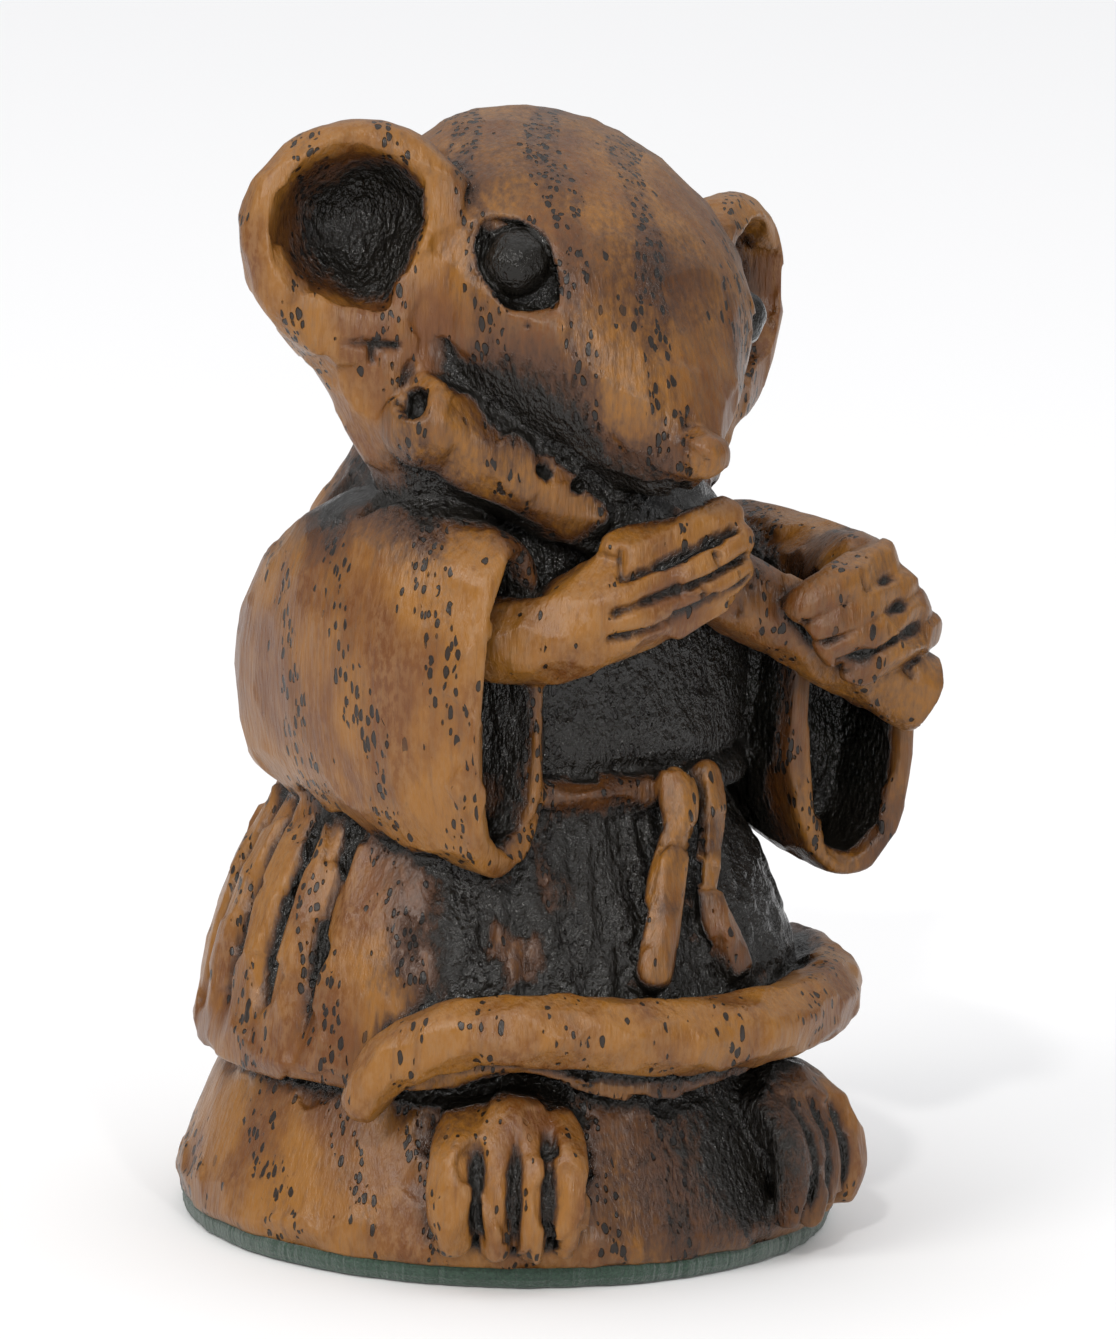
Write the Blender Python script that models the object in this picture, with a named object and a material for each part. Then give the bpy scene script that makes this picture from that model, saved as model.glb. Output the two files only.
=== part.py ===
"""A small cast figurine: a mouse in a friar's robe plays a flute, on a round base with a felt pad.

The figure is one casting. Its forms are closed shells in one mesh, which a voxel remesh makes one skin,
as wax is built up before it is carved; cutters then open the ears, the eye sockets and the flute's holes.
The forms are written in a unit that is a share of the figure's own height.
The figure faces -Y, its left is +X, and Z is up from the underside of the felt.
"""

import math

import bmesh
import bpy
import numpy as np
from mathutils import Matrix, Vector

# Driving dimensions, in metres
FIGURE_HEIGHT = 0.0723
BASE_DIAMETER = 0.0424
FLUTE_BORE = 0.0023
FELT_THICKNESS = 0.001
FELT_SETBACK = 0.0002
GLUE_GAP = 0.0003

# The figure's own unit: it stands about 72.3 of them high, so one is a millimetre at the real size
UNIT = FIGURE_HEIGHT / 72.3

# Skin of the casting, in figure units
VOXEL = 0.42
SMOOTHING = 0.55
SMOOTHING_PASSES = 3
CASTING_TRIANGLES = 7900

# Base
BASE_RADIUS = BASE_DIAMETER / 2 / UNIT
BASE_PROFILE = ((-1.5, 0.0), (0.0, 0.0), (1.2, 0.5), (3.0, 0.1), (6.0, -1.0), (9.0, -2.3), (12.0, -3.8))

# Robe
HEM_HEIGHT = 10.3
WAIST_HEIGHT = 28.4
HEM_RADIUS = 20.8
WAIST_RADIUS = 14.3
WAIST_LEAN = -0.5
WAIST_LEAN_WAY = math.radians(58)
SKIRT_BULGE = 1.5
PLEAT_SPACING = math.radians(12.5)
PLEAT_FIRST = math.radians(72.6)
PLEAT_DEPTH = 1.9
FRONT_SET_BACK = 1.6
FRONT_HALF_WIDTH = math.radians(30)
FRONT_FADE = math.radians(26)
HIP_SET_BACK = 1.5
HIP_ANGLE = math.radians(62)
HIP_WIDTH = math.radians(28)
FOOT_ANGLE = math.radians(31)
HEM_ARCH = 1.9
HEM_ARCH_WIDTH = math.radians(15)

# Head
HEAD_CENTRE = Vector((-1.1, -4.2, 61.5))
HEAD_YAW = math.radians(4.4)
HEAD_PITCH = math.radians(32.6)
HEAD_ROLL = math.radians(12.8)
EYE_CENTRES = (Vector((-9.63, -6.0, 4.15)), Vector((10.2, -6.6, 3.1)))
EYE_RADIUS = 2.1
EYE_FACING = Vector((-0.74, -0.52, 0.43))
EYE_SLANT = Vector((0.44, -0.85, -0.28))
SOCKET_HALF_LENGTH = 3.7
SOCKET_HALF_WIDTH = 2.8
SOCKET_DEPTH = 0.6
EAR_CENTRES = (Vector((-15.8, 0.15, -0.6)), Vector((16.6, -0.1, -0.85)))
EAR_FACINGS = (Vector((-0.37, -0.92, 0.10)), Vector((0.60, -0.80, -0.04)))
EAR_HOLLOW_OUTLINE = (
    (-180, 5.3),
    (-140, 5.0),
    (-102, 4.8),
    (-72, 5.6),
    (-49, 4.5),
    (-18, 4.1),
    (27, 5.3),
    (90, 5.2),
    (180, 5.3),
)
EAR_HOLLOW_OFFSET = Vector((-0.65, 1.2, 0))

# Sleeves, along rows of (x, y, low, high, half width)
SLEEVE_WALL = 1.5
RIGHT_SLEEVE_DEPTH = 7.0
LEFT_SLEEVE_DEPTH = 6.0
RIGHT_SLEEVE_ROWS = (
    (-3.0, 5.6, 32.0, 42.5, 4.4),
    (-11.5, 7.2, 27.8, 43.0, 4.5),
    (-13.1, -0.5, 27.0, 47.4, 5.2),
    (-12.4, -8.6, 25.8, 48.2, 5.2),
    (-10.0, -14.9, 24.8, 46.2, 4.4),
)
LEFT_SLEEVE_ROWS = (
    (3.0, 5.6, 32.0, 42.5, 4.4),
    (12.6, 7.0, 28.0, 42.6, 5.0),
    (16.4, 0.5, 25.4, 44.8, 5.5),
    (18.2, -5.6, 22.8, 44.6, 5.0),
    (18.8, -11.2, 21.7, 44.2, 4.5),
)
RIGHT_OPENING = Vector((0.42, -0.907, 0))
LEFT_OPENING = Vector((-0.18, -0.984, 0))

# Belt
BELT_RADIUS = 14.3
BELT_HEIGHT = 29.2
BELT_THICKNESS = 0.95
KNOT_ANGLE = math.radians(16)

# Flute
FLUTE_BLOWN_END = Vector((-12.2, -10.8, 52.7))
FLUTE_FAR_END = Vector((20.7, -16.5, 34.2))
FLUTE_RADIUS = 2.6
FLUTE_BORE_RADIUS = FLUTE_BORE / 2 / UNIT
FLUTE_BORE_DEPTH = 1.6
BLOWN_HOLE_PLACE = Vector((-12.9, -10.9, 53.0))
BLOWN_HOLE_WAY = Vector((-0.776, -0.224, 0.588))
KNOB_RADIUS = 3.0
FINGER_HOLES = ((0.165, 0.48), (0.235, 0.42), (0.60, 0.50), (0.663, 0.34), (0.94, 0.52))


def direction(angle):
    """The level direction at an angle from the front, positive towards the figure's left."""
    return Vector((math.sin(angle), -math.cos(angle), 0))


def curve_point(p, q, r, s, t):
    """A smooth curve's value at a share t of the way from q to r, where p and s are their neighbours."""
    return 0.5 * (2 * q + (r - p) * t + (2 * p - 5 * q + 4 * r - s) * t**2 + (3 * q - p - 3 * r + s) * t**3)


def eased(rows, steps):
    """A smooth run of rows through the given ones."""
    held = [rows[0], *rows, rows[-1]]
    run = []
    for four in zip(held, held[1:], held[2:], held[3:]):
        for step in range(steps):
            run.append(tuple(curve_point(*values, step / steps) for values in zip(*four)))
    run.append(tuple(rows[-1]))
    return run


def shell(body, loops):
    """A closed shell through loops of points, with flat ends."""
    rings = [[body.verts.new(point) for point in loop] for loop in loops]
    count = len(rings[0])
    faces = [body.faces.new(rings[0][::-1]), body.faces.new(rings[-1])]
    for lower, upper in zip(rings, rings[1:]):
        for i in range(count):
            j = (i + 1) % count
            faces.append(body.faces.new((lower[i], lower[j], upper[j], upper[i])))
    bmesh.ops.recalc_face_normals(body, faces=faces)


def oval(count, half_width, up, down, power, top_power=None):
    """An outline of superellipse quarters, as (across, height) pairs."""
    points = []
    for i in range(count):
        angle = 2 * math.pi * i / count
        c, s = math.cos(angle), math.sin(angle)
        bend = 2 / (top_power or power) if s > 0 else 2 / power
        across = math.copysign(abs(c) ** bend, c) * half_width
        height = math.copysign(abs(s) ** bend, s) * (up if s > 0 else down)
        points.append((across, height))
    return points


def tube(body, rows, steps=4, sides=14, flat=1.0, flat_way=Vector((0, 0, 1))):
    """A round-ended rod through rows of (x, y, z, radius). Below 1, flat thins it along flat_way."""
    run = eased(rows, steps)
    centres = [Vector(row[:3]) for row in run]
    radii = [row[3] for row in run]
    ahead = [(b - a).normalized() for a, b in zip(centres, centres[1:])]
    ahead = [ahead[0], *[(a + b).normalized() for a, b in zip(ahead, ahead[1:])], ahead[-1]]
    side = ahead[0].orthogonal().normalized()
    loops = []

    def ring(centre, way, radius):
        across = way.cross(side)
        loop = []
        for i in range(sides):
            angle = 2 * math.pi * i / sides
            offset = (side * math.cos(angle) + across * math.sin(angle)) * radius
            offset -= flat_way * (offset.dot(flat_way) * (1 - flat))
            loop.append(centre + offset)
        loops.append(loop)

    cap_angles = [math.radians(degrees) for degrees in (80, 55, 28)]
    for angle in cap_angles:
        ring(centres[0] - ahead[0] * radii[0] * math.sin(angle), ahead[0], radii[0] * math.cos(angle))
    for centre, way, radius in zip(centres, ahead, radii):
        side = (side - way * side.dot(way)).normalized()
        ring(centre, way, radius)
    for angle in reversed(cap_angles):
        ring(centres[-1] + ahead[-1] * radii[-1] * math.sin(angle), ahead[-1], radii[-1] * math.cos(angle))
    shell(body, loops)


def blob(body, centre, radii, turn=Matrix.Identity(3), sides=24):
    """An ellipsoid."""
    place = Matrix.Translation(centre) @ turn.to_4x4() @ Matrix.Diagonal((*radii, 1))
    bmesh.ops.create_uvsphere(body, u_segments=sides, v_segments=sides // 2, radius=1, matrix=place)


def turned(body, place, profile, sides=40, reach=lambda angle, radius: radius):
    """A shell turned about its own Z axis from (height, radius) pairs, where reach bends the outline."""
    loops = []
    for height, radius in profile:
        loop = []
        for i in range(sides):
            angle = 2 * math.pi * i / sides
            out = reach(angle, radius)
            loop.append(place @ Vector((out * math.cos(angle), out * math.sin(angle), height)))
        loops.append(loop)
    shell(body, loops)


def base(body):
    profile = [(height, BASE_RADIUS + change) for height, change in eased(BASE_PROFILE, 3)]
    turned(body, Matrix.Identity(4), profile, sides=96)


def pleat_cut(angle):
    """How deep the pleats cut at an angle from the front, from 0 on a crest to 1 in a valley."""
    turned_to = abs(angle) - PLEAT_FIRST
    if turned_to < -PLEAT_SPACING / 2:
        return 0.0
    wave = abs(math.cos(math.pi * turned_to / PLEAT_SPACING))
    return wave**7


def hem_height(angle):
    """The hem arches over each foot."""
    arches = sum(math.exp(-(((angle - foot) / HEM_ARCH_WIDTH) ** 2)) for foot in (-FOOT_ANGLE, FOOT_ANGLE))
    return HEM_HEIGHT + HEM_ARCH * arches


def front_flatness(angle):
    """From 0 at the pleated sides to 1 over the plain front."""
    off = abs(angle) - FRONT_HALF_WIDTH
    share = min(1, max(0, 1 - off / FRONT_FADE))
    return share * share * (3 - 2 * share)


def skirt(body):
    sides = 288
    shares = [0, 0.04, 0.1, 0.2, 0.32, 0.45, 0.58, 0.7, 0.82, 0.92, 1.0]
    angles = [2 * math.pi * i / sides - math.pi for i in range(sides)]
    loops = [[direction(a) * (HEM_RADIUS - 4) + Vector((0, 0, hem_height(a) + 2)) for a in angles]]
    loops.append([direction(a) * (HEM_RADIUS - 1.6) + Vector((0, 0, hem_height(a) + 0.3)) for a in angles])
    for share in shares:
        loop = []
        for angle in angles:
            low = hem_height(angle)
            height = low + (WAIST_HEIGHT - low) * share
            radius = HEM_RADIUS + (WAIST_RADIUS - HEM_RADIUS) * share
            radius += SKIRT_BULGE * math.sin(math.pi * share)
            radius += WAIST_LEAN * share * math.cos(angle - WAIST_LEAN_WAY)
            radius -= FRONT_SET_BACK * front_flatness(angle) * math.sin(math.pi * share) ** 0.7
            hip = math.exp(-(((angle - HIP_ANGLE) / HIP_WIDTH) ** 2))
            radius -= HIP_SET_BACK * hip * (1 - 0.4 * share)
            radius -= 0.6 * (1 - share / 0.04) if share < 0.04 else 0
            fade = min(1, max(0, (share - 0.12) / 0.25)) * (1 - 0.45 * share)
            radius -= PLEAT_DEPTH * pleat_cut(angle) * fade
            loop.append(direction(angle) * radius + Vector((0, 0, height)))
        loops.append(loop)
    shell(body, loops)


def torso(body):
    rows = (
        (26.0, 11.6, 11.6, 0.0),
        (28.5, 12.6, 12.0, 0.0),
        (29.8, 12.8, 12.2, 0.0),
        (31.2, 14.4, 13.4, 0.0),
        (35.0, 15.0, 13.0, 0.0),
        (40.0, 14.8, 12.4, 0.0),
        (44.0, 14.4, 12.0, 0.0),
        (48.0, 11.6, 10.4, 0.2),
        (51.0, 10.0, 9.6, 0.0),
        (54.5, 9.4, 9.2, -1.0),
        (60.0, 8.8, 8.8, -2.0),
    )
    loops = []
    for height, half_width, half_depth, centre_y in eased(rows, 3):
        outline = oval(64, half_width, half_depth, half_depth, 2.3)
        loops.append([Vector((x, y + centre_y, height)) for x, y in outline])
    shell(body, loops)


def sleeve(body, rows, opening, depth):
    """A hanging sleeve along rows of (x, y, low, high, half width), hollow behind its opening."""
    run = eased(rows, 4)
    loops = []

    def section(x, y, low, high, half_width, way):
        across = Vector((-way.y, way.x, 0))
        outline = oval(40, half_width, (high - low) / 2, (high - low) / 2, 2.5, 2.0)
        middle = Vector((x, y, (low + high) / 2))
        loops.append([middle + across * a + Vector((0, 0, h)) for a, h in outline])

    first, second = Vector(run[0][:2]), Vector(run[1][:2])
    way = (second - first).normalized().to_3d()
    for back, share in ((2.2, 0.35), (1.5, 0.7), (0.7, 0.9)):
        x, y, low, high, half_width = run[0]
        shrink = (high - low) / 2 * (1 - share)
        section(x - way.x * back, y - way.y * back, low + shrink, high - shrink, half_width * share, way)
    for i, (x, y, low, high, half_width) in enumerate(run):
        after, before = run[min(i + 1, len(run) - 1)], run[max(i - 1, 0)]
        way = Vector((after[0] - before[0], after[1] - before[1], 0)).normalized()
        if i == len(run) - 1:
            way = opening
        section(x, y, low, high, half_width, way)
    x, y, low, high, half_width = run[-1]
    for ahead, share in ((0.45, 0.3), (0.5, 0.7), (0.1, 1.0), (-1.2, 1.1), (-depth, 1.6)):
        inset = SLEEVE_WALL * share
        place = Vector((x, y, 0)) + opening * ahead
        section(place.x, place.y, low + inset, high - inset, half_width - inset, opening)
    shell(body, loops)


def sleeves(body):
    sleeve(body, RIGHT_SLEEVE_ROWS, RIGHT_OPENING, RIGHT_SLEEVE_DEPTH)
    sleeve(body, LEFT_SLEEVE_ROWS, LEFT_OPENING, LEFT_SLEEVE_DEPTH)


def head_frame():
    """The head's frame: it looks along its own -Y, and its Z axis runs to the crown."""
    nod = Matrix.Rotation(HEAD_PITCH, 4, "X") @ Matrix.Rotation(HEAD_ROLL, 4, "Y")
    return Matrix.Translation(HEAD_CENTRE) @ Matrix.Rotation(HEAD_YAW, 4, "Z") @ nod


def skull(body):
    """The skull and snout along the head's own -Y: (ahead, half width, up, down)."""
    rows = (
        (-12.2, 1.5, 1.0, 1.5),
        (-11.0, 5.0, 4.2, 6.0),
        (-7.0, 9.8, 7.8, 10.0),
        (-2.0, 12.4, 9.4, 11.0),
        (3.0, 12.8, 9.6, 10.0),
        (8.0, 11.4, 8.6, 8.2),
        (12.0, 8.4, 6.2, 6.6),
        (15.5, 5.2, 3.8, 5.4),
        (17.8, 2.9, 2.0, 4.0),
        (19.2, 1.5, 0.9, 2.2),
    )
    place = head_frame()
    loops = []
    for ahead, half_width, up, down in eased(rows, 3):
        outline = oval(48, half_width, up, down, 2.15)
        loops.append([place @ Vector((x, -ahead, z)) for x, z in outline])
    shell(body, loops)
    blob(body, place @ Vector((-0.1, -19.2, 0.8)), (1.75, 1.75, 1.6))
    blob(body, place @ Vector((0, -15.6, -2.6)), (3.0, 3.4, 2.2), place.to_3x3())


def ear_places():
    """Each ear's frame: its Z axis is the way the ear faces, and its Y axis is up."""
    places = []
    for centre, facing in zip(EAR_CENTRES, EAR_FACINGS):
        facing = facing.normalized()
        level = Vector((0, 0, 1)).cross(facing).normalized()
        turn = Matrix((level, facing.cross(level), facing)).transposed()
        places.append(Matrix.Translation(head_frame() @ centre) @ turn.to_4x4())
    return places


def ears(body):
    """Each ear is a thick bowl on two roots that run down to the neck, and a bridge in to the skull."""
    bowl = (
        (-6.0, 2.5),
        (-5.2, 4.4),
        (-3.4, 6.4),
        (-1.2, 7.6),
        (0.4, 7.8),
        (1.4, 7.4),
        (1.9, 6.5),
        (2.0, 4.0),
    )
    inner_root = ((1.2, -2.0, -4.3, 5.9), (4.2, -8.0, -3.6, 5.4), (6.6, -14.0, -4.2, 5.0))
    outer_root = (
        (-1.8, -3.4, -1.9, 3.6),
        (0.6, -6.1, -1.9, 3.6),
        (2.5, -9.2, -2.2, 3.7),
        (3.9, -11.4, -2.8, 3.8),
    )
    bridge = ((1.0, 0.0, -2.6, 4.0), (7.0, 0.0, -4.6, 6.2))
    for place, inward in zip(ear_places(), (1, -1)):
        narrow = math.radians(-90 - 55 * inward)

        def reach(angle, radius):
            off = (angle - narrow + math.pi) % (2 * math.pi) - math.pi
            return radius * (1 - 0.08 * math.exp(-((off / 0.6) ** 2)))

        turned(body, place, bowl, 48, reach)
        for rod in (inner_root, outer_root, bridge):
            rows = [(*(place @ Vector((x * inward, y, z))), radius) for x, y, z, radius in rod]
            tube(body, rows, sides=24)
        blob(body, place @ Vector((6.4 * inward, -1.6, -2.7)), (3.8, 6.8, 4.5), place.to_3x3())


def ear_hollows(body):
    """The hollow of each ear is a bowl that draws to a point at the lobe."""
    dish = (
        (3.5, 1.08),
        (1.9, 1.0),
        (1.1, 0.94),
        (-0.1, 0.83),
        (-1.5, 0.68),
        (-2.6, 0.5),
        (-3.3, 0.3),
        (-3.5, 0.12),
    )
    degrees, radii = zip(*EAR_HOLLOW_OUTLINE)
    for place, inward in zip(ear_places(), (1, -1)):

        def reach(angle, share):
            seen = math.atan2(math.sin(angle), math.cos(angle) * inward)
            return share * float(np.interp(math.degrees(seen), degrees, radii))

        offset = Vector((EAR_HOLLOW_OFFSET.x * inward, EAR_HOLLOW_OFFSET.y, 0))
        turned(body, place @ Matrix.Translation(offset), dish, 48, reach)


def flute_frame():
    """The flute's frame: its Z axis runs from the blown end to the far end."""
    along = (FLUTE_FAR_END - FLUTE_BLOWN_END).normalized()
    side = Vector((0, 0, 1)).cross(along).normalized()
    turn = Matrix((side, along.cross(side), along)).transposed()
    return Matrix.Translation(FLUTE_BLOWN_END) @ turn.to_4x4()


def flute(body):
    """A stick that swells to a knob at the blown end and is cut square at the far end."""
    length = (FLUTE_FAR_END - FLUTE_BLOWN_END).length
    knob = ((-2.7, 0.5), (-2.4, 1.5), (-1.3, 2.45), (0.5, 2.8), (3.5, 3.15), (8.0, 3.05), (14.0, 2.75))
    stick = ((length * 0.6, 2.6), (length * 0.8, 2.5), (length, 2.5))
    turned(body, flute_frame(), eased(knob + stick, 2), 28)
    blob(body, BLOWN_HOLE_PLACE, (KNOB_RADIUS,) * 3)


def hands(body):
    """A bare forearm in each sleeve, and four fingers over the flute on each hand."""
    forearm = (
        (-10.5, -11.5, 39.5, 2.7),
        (-7.2, -14.6, 39.7, 2.8),
        (-3.6, -16.4, 41.6, 3.3),
        (-1.6, -16.6, 42.8, 3.2),
    )
    tube(body, forearm, sides=20)
    knuckles = ((-3.2, -17.2, 45.2), (-3.0, -18.2, 43.3), (-3.1, -18.0, 41.4), (-3.2, -17.0, 39.8))
    bends = ((1.0, -17.8, 46.3), (1.0, -19.0, 44.5), (0.8, -19.0, 42.6), (0.8, -18.0, 40.9))
    tips = ((4.2, -17.6, 47.2), (4.6, -18.7, 45.8), (4.6, -18.7, 43.9), (4.2, -18.0, 42.2))
    for knuckle, bend, tip, radius in zip(knuckles, bends, tips, (1.35, 1.15, 1.1, 1.05)):
        tube(body, ((*knuckle, radius * 1.1), (*bend, radius), (*tip, radius * 0.85)), sides=12)
    palm = Vector((0.6, -15.6, 43.2))
    blob(body, palm, (4.6, 2.6, 3.6))

    far_forearm = ((18.6, -6.0, 40.5, 3.2), (17.6, -11.5, 41.5, 3.0), (16.6, -14.6, 42.0, 2.8))
    tube(body, far_forearm, sides=20)
    knuckles = ((16.7, -16.8, 43.4), (18.0, -17.2, 41.9), (19.2, -17.2, 40.3), (20.5, -16.8, 38.7))
    bends = ((12.8, -18.6, 42.6), (13.9, -19.1, 41.1), (15.0, -19.2, 39.6), (16.7, -19.0, 38.0))
    tips = ((9.9, -18.4, 41.2), (11.0, -18.8, 39.7), (11.9, -18.8, 38.2), (13.9, -18.7, 36.7))
    for knuckle, bend, tip, radius in zip(knuckles, bends, tips, (1.3, 1.15, 1.15, 1.05)):
        tube(body, ((*knuckle, radius * 1.05), (*bend, radius), (*tip, radius * 0.85)), sides=12)


def cord_belt(body):
    """A cord round the waist."""
    run = []
    for i in range(49):
        point = direction(math.radians(-180 + 7.5 * i)) * BELT_RADIUS
        run.append((point.x, point.y * 0.97, BELT_HEIGHT, BELT_THICKNESS))
    tube(body, run, steps=1, sides=10)


def cord_ends(body):
    """Two flared ends hang from the knot: (degrees from the front, height, reach, half width)."""
    left_end = (
        (10, 29.9, 15.3, 1.15),
        (9.5, 28.6, 15.9, 1.3),
        (8, 27.0, 16.4, 1.1),
        (4.5, 25.0, 16.9, 1.15),
        (1, 22.0, 17.7, 1.3),
        (-2.5, 18.4, 18.7, 1.25),
    )
    right_end = (
        (21, 29.8, 15.4, 0.95),
        (20.5, 28.3, 15.9, 1.0),
        (18.5, 25.8, 16.4, 0.85),
        (16, 23.6, 16.9, 0.85),
        (15.5, 21.8, 17.4, 0.95),
        (17.5, 19.8, 18.0, 1.15),
        (19.5, 17.8, 18.6, 1.0),
    )
    for end in (left_end, right_end):
        points = []
        for degrees, height, reach, half_width in end:
            point = direction(math.radians(degrees)) * reach
            points.append((point.x, point.y, height, half_width))
        tube(body, points, sides=12, flat=0.72, flat_way=direction(KNOT_ANGLE))


def tail(body):
    """From the back round the figure's left side, its tip on the right of the front."""
    rows = (
        (0.0, 17.0, 12.5, 3.0),
        (9.0, 17.4, 13.2, 2.8),
        (16.0, 12.0, 13.4, 2.6),
        (19.6, 3.0, 13.6, 2.5),
        (19.1, -6.5, 14.4, 2.3),
        (15.4, -14.0, 14.5, 2.35),
        (8.4, -19.2, 14.4, 2.35),
        (0.0, -21.2, 14.6, 2.3),
        (-8.6, -19.6, 15.5, 2.25),
        (-14.0, -16.6, 15.2, 2.1),
        (-17.0, -13.8, 13.2, 1.85),
        (-18.3, -12.4, 10.6, 1.3),
    )
    tube(body, rows, steps=5, sides=18)


def feet(body):
    """Each foot droops over the edge of the base, with four toes."""
    for foot, outward in ((-FOOT_ANGLE, -1), (FOOT_ANGLE, 1)):
        blob(body, direction(foot) * (BASE_RADIUS - 2.3) + Vector((0, 0, 6.4)), (4.9, 3.8, 4.8))
        toes = zip((3.5, 0.85, -1.35, -3.6), (1.5, 1.12, 1.08, 1.12), (1.8, 1.3, 1.1, 1.5))
        for across, radius, tip_height in toes:
            angle = foot + outward * across / 22
            way = direction(angle)
            top = way * (BASE_RADIUS - 1.6) + Vector((0, 0, 9.0))
            bend = way * (BASE_RADIUS + 0.8) + Vector((0, 0, 7.2))
            middle = way * (BASE_RADIUS + 1.7) + Vector((0, 0, 4.4))
            tip = way * (BASE_RADIUS + 1.5) + Vector((0, 0, tip_height + 0.6))
            rows = ((*top, radius), (*bend, radius * 1.02), (*middle, radius), (*tip, radius * 0.8))
            tube(body, rows, sides=12)


def eye_socket(body, centre, facing, slant):
    """A lens-shaped opening, pointed at both ends of its slant."""
    facing = facing.normalized()
    slant = (slant - facing * slant.dot(facing)).normalized()
    across = facing.cross(slant)
    bow = (SOCKET_HALF_LENGTH**2 - SOCKET_HALF_WIDTH**2) / (2 * SOCKET_HALF_WIDTH)
    radius = bow + SOCKET_HALF_WIDTH
    sweep = math.asin(SOCKET_HALF_LENGTH / radius)
    loops = []
    for depth, share in ((-SOCKET_DEPTH, 0.8), (1.2, 1.0), (5.0, 1.15)):
        loop = []
        for way in (1, -1):
            for step in range(-8, 8):
                angle = sweep * step / 8
                point = slant * (math.sin(angle) * radius) + across * (math.cos(angle) * radius - bow)
                loop.append(centre + point * share * way + facing * depth)
        loops.append(loop)
    shell(body, loops)


def cutters():
    """What is cut from the finished skin: the eye sockets, the flute's holes and all below the underside."""
    body = bmesh.new()
    place = head_frame()
    for centre, mirror in zip(EYE_CENTRES, (1, -1)):
        turn = place.to_3x3() @ Matrix.Diagonal((mirror, 1, 1))
        eye_socket(body, place @ centre, turn @ EYE_FACING, turn @ EYE_SLANT)
    blown_way = BLOWN_HOLE_WAY.normalized()
    bottom = BLOWN_HOLE_PLACE + blown_way * (KNOB_RADIUS - FLUTE_BORE_DEPTH)
    turn = blown_way.to_track_quat("Z", "Y").to_matrix().to_4x4()
    radius = FLUTE_BORE_RADIUS
    bore = ((0.0, radius * 0.6), (0.4, radius), (FLUTE_BORE_DEPTH + 2, radius))
    turned(body, Matrix.Translation(bottom) @ turn, bore, 12)
    out = Vector((-0.15, -0.94, 0.30)).normalized()
    for share, radius in FINGER_HOLES:
        point = FLUTE_BLOWN_END.lerp(FLUTE_FAR_END, share) + out * FLUTE_RADIUS
        tube(body, ((*(point - out * 0.4), radius), (*(point + out * 2), radius)), sides=10)
    under = Matrix.Translation((0, 0, -3)) @ Matrix.Diagonal((60, 60, 6, 1))
    bmesh.ops.create_cube(body, size=1, matrix=under)
    return body


def eyeballs(body):
    for centre in EYE_CENTRES:
        blob(body, head_frame() @ centre, (EYE_RADIUS,) * 3, sides=18)


def plain_material(name, colour, roughness):
    material = bpy.data.materials.new(name)
    material.use_nodes = True
    shader = material.node_tree.nodes["Principled BSDF"]
    shader.inputs["Base Color"].default_value = (*colour, 1)
    shader.inputs["Roughness"].default_value = roughness
    shader.inputs["Metallic"].default_value = 0.0
    material.diffuse_color = (*colour, 1)
    return material


def placed(name, body, material, height):
    """An object from a form in figure units, standing at a height in metres."""
    bmesh.ops.scale(body, vec=(UNIT,) * 3, verts=body.verts)
    mesh = bpy.data.meshes.new(name)
    body.to_mesh(mesh)
    body.free()
    mesh.materials.append(material)
    thing = bpy.data.objects.new(name, mesh)
    thing.location.z = height
    bpy.context.scene.collection.objects.link(thing)
    return thing


def triangle_count(thing):
    graph = bpy.context.evaluated_depsgraph_get()
    mesh = thing.evaluated_get(graph).data
    mesh.calc_loop_triangles()
    return len(mesh.loop_triangles)


def cut_or_add(thing, name, body, operation, material, height):
    """A Boolean step with its own hidden tool."""
    tool = placed(name, body, material, height)
    tool.hide_render = True
    tool.display_type = "WIRE"
    step = thing.modifiers.new(name, "BOOLEAN")
    step.operation = operation
    step.object = tool
    step.solver = "EXACT"


def one_skin(thing, name):
    skin = thing.modifiers.new(name, "REMESH")
    skin.mode = "VOXEL"
    skin.voxel_size = VOXEL * UNIT


def figure(material, height):
    body = bmesh.new()
    for form in (base, skirt, torso, sleeves, skull, ears, flute, hands, cord_belt, cord_ends, tail, feet):
        form(body)
    thing = placed("mouse_figure", body, material, height)

    one_skin(thing, "one skin")
    hollows = bmesh.new()
    ear_hollows(hollows)
    cut_or_add(thing, "ear_hollows", hollows, "DIFFERENCE", material, height)
    one_skin(thing, "even skin")
    soften = thing.modifiers.new("soft fillets", "SMOOTH")
    soften.factor = SMOOTHING
    soften.iterations = SMOOTHING_PASSES
    fewer = thing.modifiers.new("fewer faces", "DECIMATE")
    fewer.ratio = CASTING_TRIANGLES / triangle_count(thing)

    cut_or_add(thing, "sockets_and_holes", cutters(), "DIFFERENCE", material, height)
    balls = bmesh.new()
    eyeballs(balls)
    cut_or_add(thing, "eyeballs", balls, "UNION", material, height)


def felt_pad(material):
    """A disc of felt, set back a little from the edge of the base."""
    body = bmesh.new()
    radius = BASE_RADIUS * UNIT - FELT_SETBACK
    sizes = {"radius1": radius, "radius2": radius, "depth": FELT_THICKNESS}
    bmesh.ops.create_cone(body, cap_ends=True, segments=96, **sizes)
    mesh = bpy.data.meshes.new("felt_pad")
    body.to_mesh(mesh)
    body.free()
    mesh.materials.append(material)
    pad = bpy.data.objects.new("felt_pad", mesh)
    pad.location.z = FELT_THICKNESS / 2
    bpy.context.scene.collection.objects.link(pad)


def main():
    for thing in list(bpy.data.objects):
        bpy.data.objects.remove(thing, do_unlink=True)
    resin = plain_material("stained_resin", (0.30, 0.14, 0.035), 0.35)
    felt = plain_material("green_felt", (0.03, 0.12, 0.07), 0.95)
    felt_pad(felt)
    figure(resin, FELT_THICKNESS + GLUE_GAP)


main()
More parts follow.
